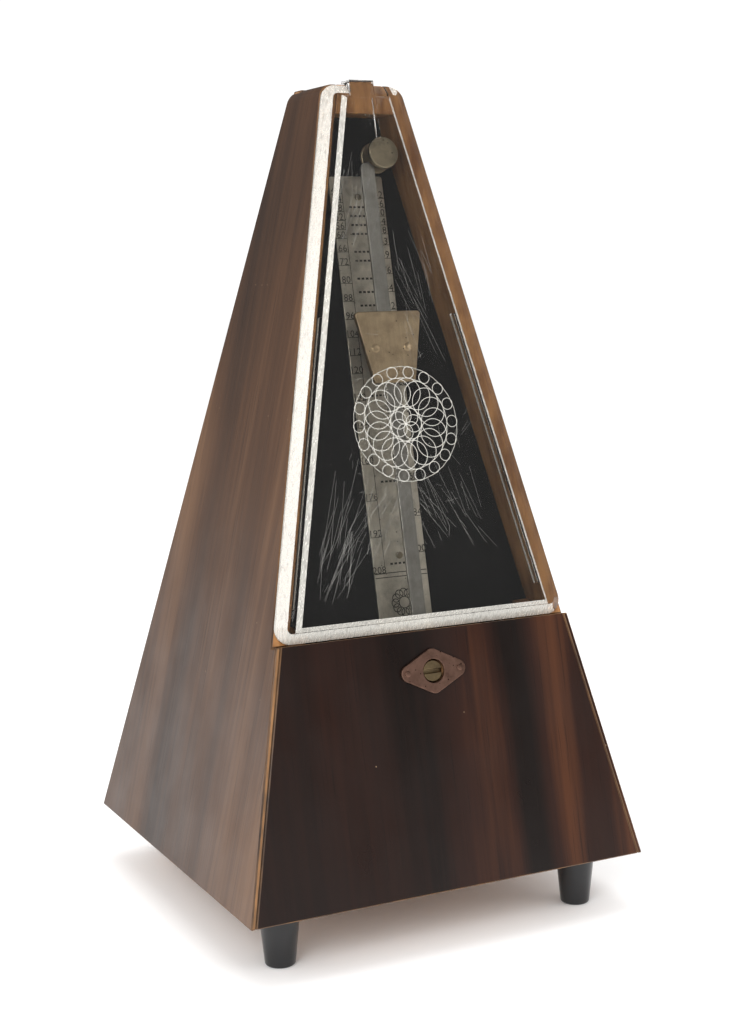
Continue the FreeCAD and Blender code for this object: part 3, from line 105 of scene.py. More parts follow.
class CaseSettings(bpy.types.PropertyGroup):
    edge: length("Edge rounding", 0.35 * MM, "Rounding of the wood's edges")
    side_dark: colour("Side, dark", (0.022, 0.012, 0.008), "Dark streaks of the side veneer")
    side_mid: colour("Side, middle", (0.078, 0.036, 0.017), "Body of the side veneer")
    side_light: colour("Side, light", (0.190, 0.098, 0.048), "Light streaks of the side veneer")
    # The front tones are darker than the side tones. Part of this is the front veneer's own redder tone, and
    # part is painted shade of the front, which faces away from the light.
    front_dark: colour("Front, dark", (0.006, 0.0025, 0.0015), "Dark streaks of the front veneer")
    front_mid: colour("Front, middle", (0.022, 0.0062, 0.0028), "Body of the front veneer")
    front_light: colour("Front, light", (0.105, 0.033, 0.010), "Light streaks of the front veneer")
    lip: colour("Veneer lip", (0.34, 0.165, 0.060), "Bare edge of the side panels")


class DoorSettings(bpy.types.PropertyGroup):
    tint: colour("Tint", (0.985, 0.97, 0.93), "Colour of the clear plastic")
    rosette: length("Rosette radius", 15.2 * MM, "Radius of the engraved rosette")
    rosette_height: length("Rosette height", 133.4 * MM, "Middle of the rosette above the table")
    rosette_line: length("Rosette line", 0.08 * MM, "Thickness of the engraved lines")
    petals: IntProperty(name="Petals", default=18, min=3, description="Petals of the rosette")
    scratches: IntProperty(name="Scratches", default=42, min=0, description="Scratches in each patch")
    scratch_width: length("Scratch width", 0.035 * MM, "Width of a scratch")


class DialSettings(bpy.types.PropertyGroup):
    line: length("Line width", 0.16 * MM, "Width of the printed lines")
    figure: length("Figure height", 1.95 * MM, "Height of the printed numbers")
    plate: colour("Plate", (0.66, 0.62, 0.54), "Colour of the scale plate")
    mark_60: length("Mark for 60", 173.0 * MM, "Height of the mark for 60 beats, up the slope")
    pitch: length("Pitch", 0.609 * MM, "Distance on the scale for one beat a minute")
    column: length("Column width", 3.3 * MM, "Width of the two columns of numbers")
    ink: colour("Ink", (0.020, 0.018, 0.016), "Colour of the print")


class MetalSettings(bpy.types.PropertyGroup):
    brass: colour("Brass", (0.56, 0.43, 0.28), "Old brass of the weight")
    copper: colour("Copper", (0.27, 0.155, 0.115), "Brown plate round the pivot")
    nickel: colour("Nickel", (0.33, 0.28, 0.20), "Dull discs of the rest pin")
    steel: colour("Steel", (0.36, 0.35, 0.33), "Steel of the rod")


class StageSettings(bpy.types.PropertyGroup):
    floor: colour("Floor", (0.98, 0.98, 0.98), "Colour of the floor")
    key_power: FloatProperty(name="Key light", default=6.0, min=0,
                             description="Power of the light from the left")
    azimuth: FloatProperty(name="Azimuth", default=radians(-26.68), subtype="ANGLE",
                           description="Direction of the camera round the object")
    elevation: FloatProperty(name="Elevation", default=radians(8.02), subtype="ANGLE",
                             description="Height angle of the camera")
    roll: FloatProperty(name="Roll", default=radians(-0.93), subtype="ANGLE",
                        description="Roll of the camera")
    lens: FloatProperty(name="Lens", default=59.69, min=1, description="Focal length in millimetres")
    place: FloatVectorProperty(name="Camera place", default=(-206.16 * MM, -421.78 * MM, 172.71 * MM),
                               size=3, subtype="TRANSLATION", description="Where the camera stands")


# ---------------------------------------------------------------- mesh helpers
def plain_object(name, mesh):
    obj = bpy.data.objects.new(name, mesh)
    bpy.context.scene.collection.objects.link(obj)
    return obj


def bake(obj):
    """Turns an object's modifiers, or its text or curve, into a plain mesh."""
    bpy.context.view_layer.update()
    graph = bpy.context.evaluated_depsgraph_get()
    mesh = bpy.data.meshes.new_from_object(obj.evaluated_get(graph))
    name, materials = obj.name, [slot.material for slot in obj.material_slots]
    bpy.data.objects.remove(obj)
    result = plain_object(name, mesh)
    result.name = name
    if not mesh.materials:
        for material in materials:
            mesh.materials.append(material)
    return result


def smooth(obj, angle=radians(32)):
    """Smooth shading that keeps edges sharper than the angle crisp."""
    for polygon in obj.data.polygons:
        polygon.use_smooth = True
    obj.data.set_sharp_from_angle(angle=angle)
    return obj


def settle(obj, body, replaced=()):
    """Hands a finished piece to the frame."""
    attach(obj, body)
    if replaced:
        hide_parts(*replaced)
    return obj


def body_of(node):
    return frame["nodes"][node]["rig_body"]


def clean_copy(node):
    """A merged copy of a CAD node's mesh, with flat faces in one piece."""
    form = bmesh.new()
    form.from_mesh(frame["nodes"][node].data)
    bmesh.ops.remove_doubles(form, verts=form.verts, dist=0.002 * MM)
    bmesh.ops.dissolve_limit(form, angle_limit=radians(0.4), verts=form.verts, edges=form.edges)
    mesh = bpy.data.meshes.new(node)
    form.to_mesh(mesh)
    form.free()
    mesh.materials.clear()
    return mesh


def finished(node, materials, edge, pick=None, edge_material=-1, steps=2):
    """A CAD node with rounded edges, which stands for it. pick(normal, centre) chooses a face's material."""
    obj = plain_object(node + "_finished", clean_copy(node))
    for material in materials:
        obj.data.materials.append(material)
    if pick:
        for polygon in obj.data.polygons:
            polygon.material_index = pick(polygon.normal, polygon.center)
    smooth(obj, radians(38))
    bevel = obj.modifiers.new("edges", "BEVEL")
    bevel.width, bevel.segments = edge, steps
    bevel.limit_method, bevel.angle_limit = "ANGLE", radians(38)
    bevel.use_clamp_overlap = False
    bevel.material = edge_material
    obj = bake(obj)
    for polygon in obj.data.polygons:
        if polygon.area > BROAD:
            polygon.use_smooth = False
    return settle(obj, body_of(node), [node])


def painted(node, material):
    """A CAD node that keeps its own mesh and gets a better finish."""
    obj = frame["nodes"][node]
    obj.data.materials.clear()
    obj.data.materials.append(material)


def strip(form, corners, depth, thickness):
    """Adds a thin flat bar with the given (x, height) corners to a bmesh, its front at a depth."""
    front = [form.verts.new((x, depth, h)) for x, h in corners]
    back = [form.verts.new((x, depth + thickness, h)) for x, h in corners]
    form.faces.new(front)
    form.faces.new(list(reversed(back)))
    count = len(corners)
    for i in range(count):
        j = (i + 1) % count
        form.faces.new((front[j], front[i], back[i], back[j]))


def from_form(name, form, matrix=FACE):
    """A bmesh drawn in the face's frame becomes an object with its place in its mesh."""
    bmesh.ops.recalc_face_normals(form, faces=form.faces)
    mesh = bpy.data.meshes.new(name)
    form.to_mesh(mesh)
    form.free()
    mesh.transform(matrix)
    return plain_object(name, mesh)


# ---------------------------------------------------------------- geometry node helpers
class Tree:
    """A geometry node tree with named inputs."""

    def __init__(self, name, **inputs):
        self.tree = bpy.data.node_groups.new(name, "GeometryNodeTree")
        face = self.tree.interface
        face.new_socket("Geometry", in_out="INPUT", socket_type="NodeSocketGeometry")
        for key, (kind, value) in inputs.items():
            socket = face.new_socket(key, in_out="INPUT", socket_type="NodeSocket" + kind)
            if value is not None:
                socket.default_value = value
        face.new_socket("Geometry", in_out="OUTPUT", socket_type="NodeSocketGeometry")
        self.source = self.tree.nodes.new("NodeGroupInput")

    def add(self, kind, inputs=None, **settings):
        node = self.tree.nodes.new(kind)
        for key, value in settings.items():
            setattr(node, key, value)
        for key, value in (inputs or {}).items():
            if isinstance(value, bpy.types.NodeSocket):
                self.tree.links.new(value, node.inputs[key])
            else:
                node.inputs[key].default_value = value
        return node

    def given(self, name):
        return self.source.outputs[name]

    def scatter(self, points, piece, **turned):
        """Finishes the tree with a copy of the piece on each point."""
        placed = self.add("GeometryNodeInstanceOnPoints", {"Points": points, "Instance": piece, **turned})
        return self.finish(placed.outputs[0])

    def finish(self, geometry):
        """Realizes what was made and gives it the tree's material."""
        real = self.add("GeometryNodeRealizeInstances", {"Geometry": geometry})
        coated = self.add("GeometryNodeSetMaterial", {"Geometry": real.outputs[0],
                                                      "Material": self.given("Material")})
        end = self.tree.nodes.new("NodeGroupOutput")
        self.tree.links.new(coated.outputs[0], end.inputs["Geometry"])
        return self.tree


def grow(name, mesh, tree, values):
    """Runs a geometry node tree on a mesh and returns the plain result."""
    obj = plain_object(name, mesh)
    modifier = obj.modifiers.new(name, "NODES")
    modifier.node_group = tree
    for item in tree.interface.items_tree:
        if item.in_out == "INPUT" and item.name in values:
            modifier[item.identifier] = values[item.name]
    return bake(obj)


def scratch_tree():
    """Short bowed hairlines, scattered over a box and turned about one direction."""
    tree = Tree("scratches", Count=("Int", 40), Low=("Vector", None), High=("Vector", None),
                Aim=("Float", 0.0), Spread=("Float", 0.3), Length=("Float", 0.02), Bow=("Float", 0.1),
                Width=("Float", 0.0001), Seed=("Int", 1), Material=("Material", None))
    place = tree.add("FunctionNodeRandomValue", {"Min": tree.given("Low"), "Max": tree.given("High"),
                                                 "Seed": tree.given("Seed")}, data_type="FLOAT_VECTOR")
    points = tree.add("GeometryNodePoints", {"Count": tree.given("Count"),
                                             "Position": place.outputs["Value"]})
    rise = tree.add("ShaderNodeCombineXYZ", {"Z": tree.given("Length")})
    half = tree.add("ShaderNodeVectorMath", {0: rise.outputs[0], "Scale": 0.5}, operation="SCALE")
    side = tree.add("ShaderNodeMath", {0: tree.given("Length"), 1: tree.given("Bow")}, operation="MULTIPLY")
    bulge = tree.add("ShaderNodeCombineXYZ", {"X": side.outputs[0]})
    middle = tree.add("ShaderNodeVectorMath", {0: half.outputs[0], 1: bulge.outputs[0]}, operation="ADD")
    bow = tree.add("GeometryNodeCurveQuadraticBezier", {"Resolution": 6, "Start": (0, 0, 0),
                                                        "Middle": middle.outputs[0], "End": rise.outputs[0]})
    profile = tree.add("GeometryNodeCurvePrimitiveCircle", {"Resolution": 3, "Radius": tree.given("Width")})
    hair = tree.add("GeometryNodeCurveToMesh", {"Curve": bow.outputs[0], "Profile Curve": profile.outputs[0],
                                                "Fill Caps": True})
    seed = tree.add("ShaderNodeMath", {0: tree.given("Seed"), 1: 7.0}, operation="ADD")
    low = tree.add("ShaderNodeMath", {0: tree.given("Aim"), 1: tree.given("Spread")}, operation="SUBTRACT")
    high = tree.add("ShaderNodeMath", {0: tree.given("Aim"), 1: tree.given("Spread")}, operation="ADD")
    angle = tree.add("FunctionNodeRandomValue", {2: low.outputs[0], 3: high.outputs[0],
                                                 "Seed": seed.outputs[0]}, data_type="FLOAT")
    turn = tree.add("ShaderNodeCombineXYZ", {"Y": angle.outputs[1]})
    share = tree.add("FunctionNodeRandomValue", {2: 0.1, 3: 1.0, "Seed": tree.given("Seed")},
                     data_type="FLOAT")
    size = tree.add("ShaderNodeCombineXYZ", {"X": 1.0, "Y": 1.0, "Z": share.outputs[1]})
    return tree.scatter(points.outputs[0], hair.outputs[0], Rotation=turn.outputs[0], Scale=size.outputs[0])


def ring_of_loops_tree():
    """Overlapping small rings set round a circle, as an engraver turns a rosette."""
    tree = Tree("rosette", Petals=("Int", 18), Radius=("Float", 0.01), Petal=("Float", 0.004),
                Line=("Float", 0.0001), Material=("Material", None))
    circle = tree.add("GeometryNodeMeshCircle", {"Vertices": tree.given("Petals"),
                                                 "Radius": tree.given("Radius")})
    loop = tree.add("GeometryNodeCurvePrimitiveCircle", {"Resolution": 28, "Radius": tree.given("Petal")})
    profile = tree.add("GeometryNodeCurvePrimitiveCircle", {"Resolution": 4, "Radius": tree.given("Line")})
    wire = tree.add("GeometryNodeCurveToMesh", {"Curve": loop.outputs[0],
                                                "Profile Curve": profile.outputs[0]})
    return tree.scatter(circle.outputs[0], wire.outputs[0])


def tick_tree():
    """One short bar on each point of a mesh."""
    tree = Tree("ticks", Size=("Vector", None), Material=("Material", None))
    bar = tree.add("GeometryNodeMeshCube", {"Size": tree.given("Size")})
    return tree.scatter(tree.given("Geometry"), bar.outputs["Mesh"])


# ---------------------------------------------------------------- material helpers
class Finish:
    """A material on the standard shader, with short ways to add nodes."""

    def __init__(self, name, **sockets):
        self.material = bpy.data.materials.new(name)
        self.material.use_nodes = True
        self.tree = self.material.node_tree
        self.shader = next(n for n in self.tree.nodes if n.type == "BSDF_PRINCIPLED")
        for key, value in sockets.items():
            socket = self.shader.inputs[key.replace("_", " ")]
            socket.default_value = (*value, 1) if socket.type == "RGBA" else value

    def add(self, kind, inputs=None, **settings):
        node = self.tree.nodes.new("ShaderNode" + kind)
        for key, value in settings.items():
            setattr(node, key, value)
        for key, value in (inputs or {}).items():
            self.join(value, node.inputs[key])
        return node

    def join(self, value, socket):
        if isinstance(value, bpy.types.NodeSocket):
            self.tree.links.new(value, socket)
        elif socket.type == "RGBA" and len(value) == 3:
            socket.default_value = (*value, 1)
        else:
            socket.default_value = value

    def put(self, key, value):
        self.join(value, self.shader.inputs[key])
        return self

    def place(self):
        return self.add("TexCoord").outputs["Object"]

    def stretched(self, scale, move=(0, 0, 0), turn=(0, 0, 0), vector=None):
        """Object coordinates, scaled along each axis."""
        return self.add("Mapping", {"Vector": vector or self.place(), "Scale": scale, "Location": move,
                                    "Rotation": turn}).outputs[0]

    def noise(self, scale, detail=3.0, rough=0.55, **mapping):
        """Cloudy values round a half, with features 1/scale metres long on each axis."""
        return self.add("TexNoise", {"Vector": self.stretched(scale, **mapping), "Scale": 1.0,
                                     "Detail": detail, "Roughness": rough}).outputs[0]

    def math(self, operation, a, b=0.0, clamp=False):
        return self.add("Math", {0: a, 1: b}, operation=operation, use_clamp=clamp).outputs[0]

    def spread(self, value, low, high, to_low=0.0, to_high=1.0):
        return self.add("MapRange", {"Value": value, "From Min": low, "From Max": high, "To Min": to_low,
                                     "To Max": to_high}).outputs[0]

    def ramp(self, value, stops, smooth_steps=False):
        """Colour ramp. Stops are (position, colour or grey)."""
        node = self.add("ValToRGB", {"Fac": value})
        elements = node.color_ramp.elements
        if smooth_steps:
            node.color_ramp.interpolation = "EASE"
        while len(elements) < len(stops):
            elements.new(0.5)
        for element, (position, tone) in zip(elements, stops):
            element.position = position
            element.color = (*tone, 1) if hasattr(tone, "__len__") else (tone, tone, tone, 1)
        return node.outputs[0]

    def mix(self, factor, a, b, blend="MIX"):
        node = self.add("Mix", data_type="RGBA", blend_type=blend)
        self.join(factor, node.inputs[0])
        self.join(a, node.inputs[6])
        self.join(b, node.inputs[7])
        return node.outputs[2]

    def bump(self, height, distance, strength=1.0):
        node = self.add("Bump", {"Height": height, "Distance": distance, "Strength": strength})
        return self.put("Normal", node.outputs[0])

    def axis(self, name):
        return self.add("SeparateXYZ", {"Vector": self.place()}).outputs[name]


def scaled(tone, factor):
    """A darker colour of the same kind."""
    return tuple(c * factor for c in tone)


def specks(finish, scale, size, chance):
    """1 on small scattered dots, 0 elsewhere."""
    cells = finish.add("TexVoronoi", {"Vector": finish.stretched((1, 1, 1)), "Scale": scale})
    dot = finish.math("LESS_THAN", cells.outputs["Distance"], size)
    pick = finish.add("SeparateColor", {"Color": cells.outputs["Color"]}).outputs[0]
    return finish.math("MULTIPLY", dot, finish.math("LESS_THAN", pick, chance))


def veneer(name, across, tones, bands, seed, contrast=1.0, gloss=0.30, chips=0.06):
    """Varnished veneer with its grain up the case. Bands are (share of width, lightness)."""
    dark, mid, light = tones
    wood = Finish(name, Coat_Weight=0.12, Coat_Roughness=0.22, Specular_IOR_Level=0.3)

    def grain(side, along, shift=0.0, detail=3.0, rough=0.55):
        scale = (side, 0.0, along) if across == "X" else (0.0, side, along)
        return wood.noise(scale, detail, rough, move=(seed, seed * 0.7, shift))

    wander = wood.spread(grain(14, 5, 3.0), 0, 1, -0.09, 0.09)
    along_width = wood.spread(wood.axis(across), CASE_LOW.y, -CASE_LOW.y)
    band = wood.ramp(wood.math("ADD", along_width, wander), bands, smooth_steps=True)
    broad = wood.math("SUBTRACT", grain(46, 3.2, detail=4.0), 0.5)
    fine = wood.math("SUBTRACT", grain(520, 12, 1.0), 0.5)
    cloud = wood.math("SUBTRACT", grain(18, 13, 5.0, detail=2.0), 0.5)
    tone = wood.math("ADD", band, wood.math("MULTIPLY", broad, 0.95 * contrast))
    tone = wood.math("ADD", tone, wood.math("MULTIPLY", fine, 0.30 * contrast))
    tone = wood.math("ADD", tone, wood.math("MULTIPLY", cloud, 0.40 * contrast))
    body = wood.ramp(tone, [(0.12, dark), (0.46, mid), (0.86, light)])
    pores = wood.spread(grain(1500, 34, 2.0, detail=2.0), 0.58, 0.70)
    body = wood.mix(wood.math("MULTIPLY", pores, 0.55), body, scaled(mid, 0.35))
    body = wood.mix(specks(wood, 260.0, 0.05, chips), body, (0.20, 0.13, 0.08))
    wood.put("Base Color", body)
    wood.put("Roughness", wood.spread(wood.noise((60, 60, 40), 3.0), 0.3, 0.7, gloss, gloss + 0.16))
    relief = wood.math("SUBTRACT", wood.math("MULTIPLY", fine, 0.5), wood.math("MULTIPLY", pores, 0.6))
    return wood.bump(relief, 0.05 * MM, 0.5).material


def bare_wood(name, tones, scale=(380, 380, 14), rough=0.62):
    """Unvarnished wood or the cut edge of a panel."""
    dark, light = tones
    wood = Finish(name)
    lines = wood.noise(scale, 4.0)
    patches = wood.noise((70, 70, 22), 3.0, move=(3, 1, 2))
    tone = wood.math("ADD", wood.math("MULTIPLY", lines, 0.6), wood.math("MULTIPLY", patches, 0.4))
    wood.put("Base Color", wood.ramp(tone, [(0.36, dark), (0.62, light)]))
    wood.put("Roughness", wood.spread(patches, 0.3, 0.7, rough - 0.1, rough + 0.1))
    return wood.bump(lines, 0.04 * MM, 0.6).material


def worn_metal(name, tone, tarnish, rough=0.34, brushed=(60, 60, 2200), amount=0.6, pits=0.0):
    """Metal with fine brushing, cloudy tarnish and a few dark spots."""
    metal = Finish(name, Metallic=1.0)
    cloud = metal.noise((210, 210, 210), 5.0, 0.62)
    lines = metal.noise(brushed, 2.0)
    veil = metal.spread(cloud, 0.42, 0.66, 0.0, amount)
    body = metal.mix(veil, tone, tarnish)
    body = metal.mix(metal.spread(lines, 0.3, 0.7, 0.0, 0.35), body, scaled(tone, 0.62))
    if pits:
        body = metal.mix(specks(metal, 900.0, 0.16, pits), body, scaled(tarnish, 0.2))
    metal.put("Base Color", body)
    metal.put("Roughness", metal.spread(cloud, 0.35, 0.7, rough, rough + 0.24))
    height = metal.math("ADD", metal.math("MULTIPLY", lines, 0.5), metal.math("MULTIPLY", cloud, 0.5))
    return metal.bump(height, 0.02 * MM, 0.5).material


def clear_plastic(name, tint):
    """Cast clear plastic, a little yellow and rubbed."""
    plastic = Finish(name, Base_Color=tint, Transmission_Weight=1.0, IOR=1.49,
                     Specular_IOR_Level=0.1)
    haze = plastic.noise((45, 45, 30), 4.0, 0.6)
    plastic.put("Roughness", plastic.spread(haze, 0.45, 0.75, 0.01, 0.09))
    return plastic.material


def sawn_plastic(name, tint):
    """The sawn and rubbed edges of the clear plastic, which look white: partly real rubbing and partly a
    painted highlight of edges that catch the light.
    """
    plastic = Finish(name, Transmission_Weight=0.5, IOR=1.49)
    lines = plastic.noise((1600, 1600, 60), 2.0)
    cloud = plastic.noise((60, 60, 40), 3.0)
    shade = plastic.math("ADD", plastic.math("MULTIPLY", lines, 0.8), plastic.math("MULTIPLY", cloud, 0.2))
    plastic.put("Base Color", plastic.ramp(shade, [(0.34, scaled(tint, 0.72)), (0.5, tint)]))
    plastic.put("Roughness", plastic.spread(shade, 0.35, 0.65, 0.12, 0.34))
    return plastic.material


def flat_paint(name, tone, rough, speck_tone=None, gloss=0.5):
    """Even paint with a faint mottle, and dust when asked."""
    paint = Finish(name, Specular_IOR_Level=gloss)
    mottle = paint.noise((160, 160, 160), 4.0)
    body = paint.mix(paint.spread(mottle, 0.3, 0.7, 0.0, 0.5), tone, scaled(tone, 0.6))
    if speck_tone:
        body = paint.mix(specks(paint, 420.0, 0.09, 0.2), body, speck_tone)
    paint.put("Base Color", body)
    paint.put("Roughness", paint.spread(mottle, 0.3, 0.7, rough - 0.06, rough + 0.06))
    return paint.bump(mottle, 0.01 * MM, 0.4).material


# ---------------------------------------------------------------- pieces
class METRONOME_OT_case(bpy.types.Operator):
    """Veneered panels, bare wood inside and feet"""
    bl_idname = "metronome.case"
    bl_label = "Case"

    def execute(self, context):
        look = context.scene.metronome_case
        sides = (look.side_dark, look.side_mid, look.side_light)
        side_bands = [(0.0, 0.62), (0.22, 0.52), (0.42, 0.40), (0.60, 0.30), (0.78, 0.50), (1.0, 0.42)]
        side = veneer("side_veneer", "Y", sides, side_bands, 2.0, gloss=0.34)
        back = veneer("back_veneer", "X", sides, [(0.0, 0.5), (0.5, 0.42), (1.0, 0.5)], 8.0, gloss=0.34)
        front_bands = [(0.0, 0.22), (0.25, 0.32), (0.42, 0.20), (0.62, 0.52), (0.70, 0.12), (0.80, 0.62),
                       (0.9, 0.3), (1.0, 0.60)]
        # The front tones hold painted shade as well as the veneer's own redder tone.
        front_tones_and_shade = (look.front_dark, look.front_mid, look.front_light)
        front = veneer("front_veneer_and_shade", "X", front_tones_and_shade, front_bands, 4.3, contrast=0.8, gloss=0.27)
        lip = bare_wood("veneer_lip", (scaled(look.lip, 0.45), look.lip), (500, 500, 40))
        inside = bare_wood("bare_wood", ((0.16, 0.075, 0.030), (0.36, 0.19, 0.085)))
        rim = bare_wood("rebate_wood", ((0.22, 0.085, 0.025), (0.52, 0.25, 0.085)), (420, 420, 30), 0.45)
        worn = bare_wood("worn_edge", (look.side_dark, scaled(look.lip, 0.55)), (120, 120, 60), 0.45)
        self.panels(look, side, back, front, lip, inside, rim, worn)
        for node in ("base_board", "front_left_block", "front_right_block", "rear_left_block",
                     "rear_right_block", "left_board_batten", "right_board_batten"):
            finished(node, [inside], look.edge)
        foot = flat_paint("black_foot", (0.012, 0.012, 0.013), 0.16)
        for node in ("front_left_foot", "front_right_foot", "rear_foot"):
            finished(node, [foot], 0.15 * MM)
        return {"FINISHED"}

    def panels(self, look, side, back, front, lip, inside, rim, worn):
        door_low = face_box("clear_door")[0].z

        def side_pick(sign):
            def pick(normal, centre):
                up_slope = (FACE.inverted() @ centre).z
                if normal.y < -0.7 and normal.x * sign < 0.9:
                    if up_slope > door_low - 1 * MM:
                        return 3
                    return 1 if sign < 0 else 4
                if normal.x * sign > 0.25 or normal.z > 0.3:
                    return 0
                if normal.y > 0.7:
                    return 1
                return 2
            return pick

        wood = [side, lip, inside, rim, front, worn]
        finished("left_side_panel", wood, look.edge, side_pick(-1), 5)
        finished("right_side_panel", wood, look.edge, side_pick(1), 5)
        finished("front_lower_panel", [front, inside, worn], look.edge,
                 lambda normal, centre: 0 if normal.y < -0.7 else 1, 2)
        finished("back_panel", [back, inside, worn], look.edge,
                 lambda normal, centre: 0 if normal.y > 0.7 or normal.z > 0.7 else 1, 2)
        finished("top_block", [rim, side], look.edge, lambda normal, centre: 1 if normal.z > 0.7 else 0)


class METRONOME_OT_door(bpy.types.Operator):
    """Clear door with sawn edges, engraved rosette and scratches"""
    bl_idname = "metronome.door"
    bl_label = "Clear door"

    def execute(self, context):
        look = context.scene.metronome_door
        clear = clear_plastic("clear_plastic", look.tint)
        # The white edge material is partly real rubbing and partly a painted highlight of the lit left edges.
        sawn = sawn_plastic("sawn_plastic", (0.96, 0.93, 0.85))
        turn = FACE.inverted().to_3x3()

        door_high = face_box("clear_door")[1].z

        def pick(normal, centre):
            """White plastic on the bevel, the step and the left side, partly rubbed and partly a painted
            highlight of the lit left edges; clear on the rest, the right edge too.
            """
            spot = FACE.inverted() @ centre
            on_clip = abs(spot.x) < 6 * MM and spot.z > door_high - 17 * MM
            local = turn @ normal
            sloping = abs(local.y) < 0.97
            right_edge = local.x > 0.3 and spot.y > 0
            return 1 if sloping and not on_clip and not right_edge and spot.y < DOOR_PLATE_BACK else 0

        finished("clear_door", [clear, sawn], 0.05 * MM, pick, steps=1)
        engraved = Finish("engraved_white", Base_Color=(0.85, 0.83, 0.76), Roughness=0.5, Alpha=0.6).material
        scratched = Finish("scratch_white", Base_Color=(0.85, 0.83, 0.78), Roughness=0.5, Alpha=0.45).material
        self.rosette(look, engraved)
        self.scratches(look, scratched)
        return {"FINISHED"}

    def rosette(self, look, white):
        """Rings with loops between them, engraved in the front of the door's raised middle."""
        height = (look.rosette_height - FOOT_HEIGHT) / cos(LEAN)
        matrix = FACE @ Matrix.Translation((0, DOOR_MIDDLE, height)) @ UPRIGHT
        tree = ring_of_loops_tree()
        line, radius = look.rosette_line, look.rosette
        rings = [(1, 0.0, radius - line), (1, 0.0, radius * 0.80), (1, 0.0, radius * 0.30),
                 (look.petals, radius * 0.55, radius * 0.25), (look.petals, radius * 0.90, radius * 0.10),
                 (7, radius * 0.15, radius * 0.15)]
        pieces = []
        for i, (count, ring, petal) in enumerate(rings):
            base = bpy.data.meshes.new("rosette_base")
            piece = grow("rosette_ring_%d" % i, base, tree, {"Petals": max(count, 3), "Radius": ring,
                                                             "Petal": petal, "Line": line, "Material": white})
            pieces.append(piece)
        whole = join("door_rosette", pieces)
        flatten = Matrix.Diagonal((1, 1, 0.25, 1))
        whole.data.transform(matrix @ flatten)
        settle(smooth(whole), "door")

    def scratches(self, look, white):
        """Patches of hairlines: a place, a main direction and a length each."""
        tree = scratch_tree()
        patches = [  # x, height, half width, half height, direction, spread, length, bow, share
            (-26, 84, 5, 8, 0.45, 0.30, 22, 0.0, 1.0),
            (-14, 92, 8, 8, 0.55, 0.25, 14, 0.0, 0.8),
            (13, 92, 12, 8, -0.50, 0.35, 16, 0.0, 0.7),
            (-8, 176, 5, 10, 0.35, 0.25, 12, 0.0, 0.8),
            (8, 150, 6, 14, -0.20, 0.25, 18, 0.0, 0.5),
            (0, 120, 18, 30, 0.0, 1.5, 5, 0.0, 1.0)]
        pieces = []
        for i, (x, height, wide, tall, aim, spread, reach, bow, share) in enumerate(patches):
            low = ((x - wide) * MM, DOOR_MIDDLE - 0.02 * MM, (height - tall) * MM)
            high = ((x + wide) * MM, DOOR_MIDDLE, (height + tall) * MM)
            values = {"Count": int(look.scratches * share), "Low": low, "High": high, "Aim": aim,
                      "Spread": spread, "Length": reach * MM, "Bow": bow, "Width": look.scratch_width / 2,
                      "Seed": i + 1, "Material": white}
            pieces.append(grow("scratch_patch_%d" % i, bpy.data.meshes.new("scratch_base"), tree, values))
        whole = join("door_scratches", pieces)
        whole.data.transform(FACE)
        settle(whole, "door")


def join(name, pieces):
    """Joins mesh objects that sit at the origin into one."""
    form = bmesh.new()
    materials = []
    for piece in pieces:
        mesh = piece.data
        for material in mesh.materials:
            if material not in materials:
                materials.append(material)
        table = [materials.index(m) for m in mesh.materials]
        for polygon in mesh.polygons:
            if table:
                polygon.material_index = table[min(polygon.material_index, len(table) - 1)]
        form.from_mesh(mesh)
        bpy.data.objects.remove(piece)
    result = bpy.data.meshes.new(name)
    form.to_mesh(result)
    form.free()
    for material in materials:
        result.materials.append(material)
    return plain_object(name, result)


def tempo_steps():
    """The usual tempo marks: steps of 2, 3, 4, 6 and 8 beats a minute."""
    marks = [40]
    for limit, step in ((60, 2), (72, 3), (120, 4), (144, 6), (208, 8)):
        while marks[-1] < limit:
            marks.append(marks[-1] + step)
    return marks


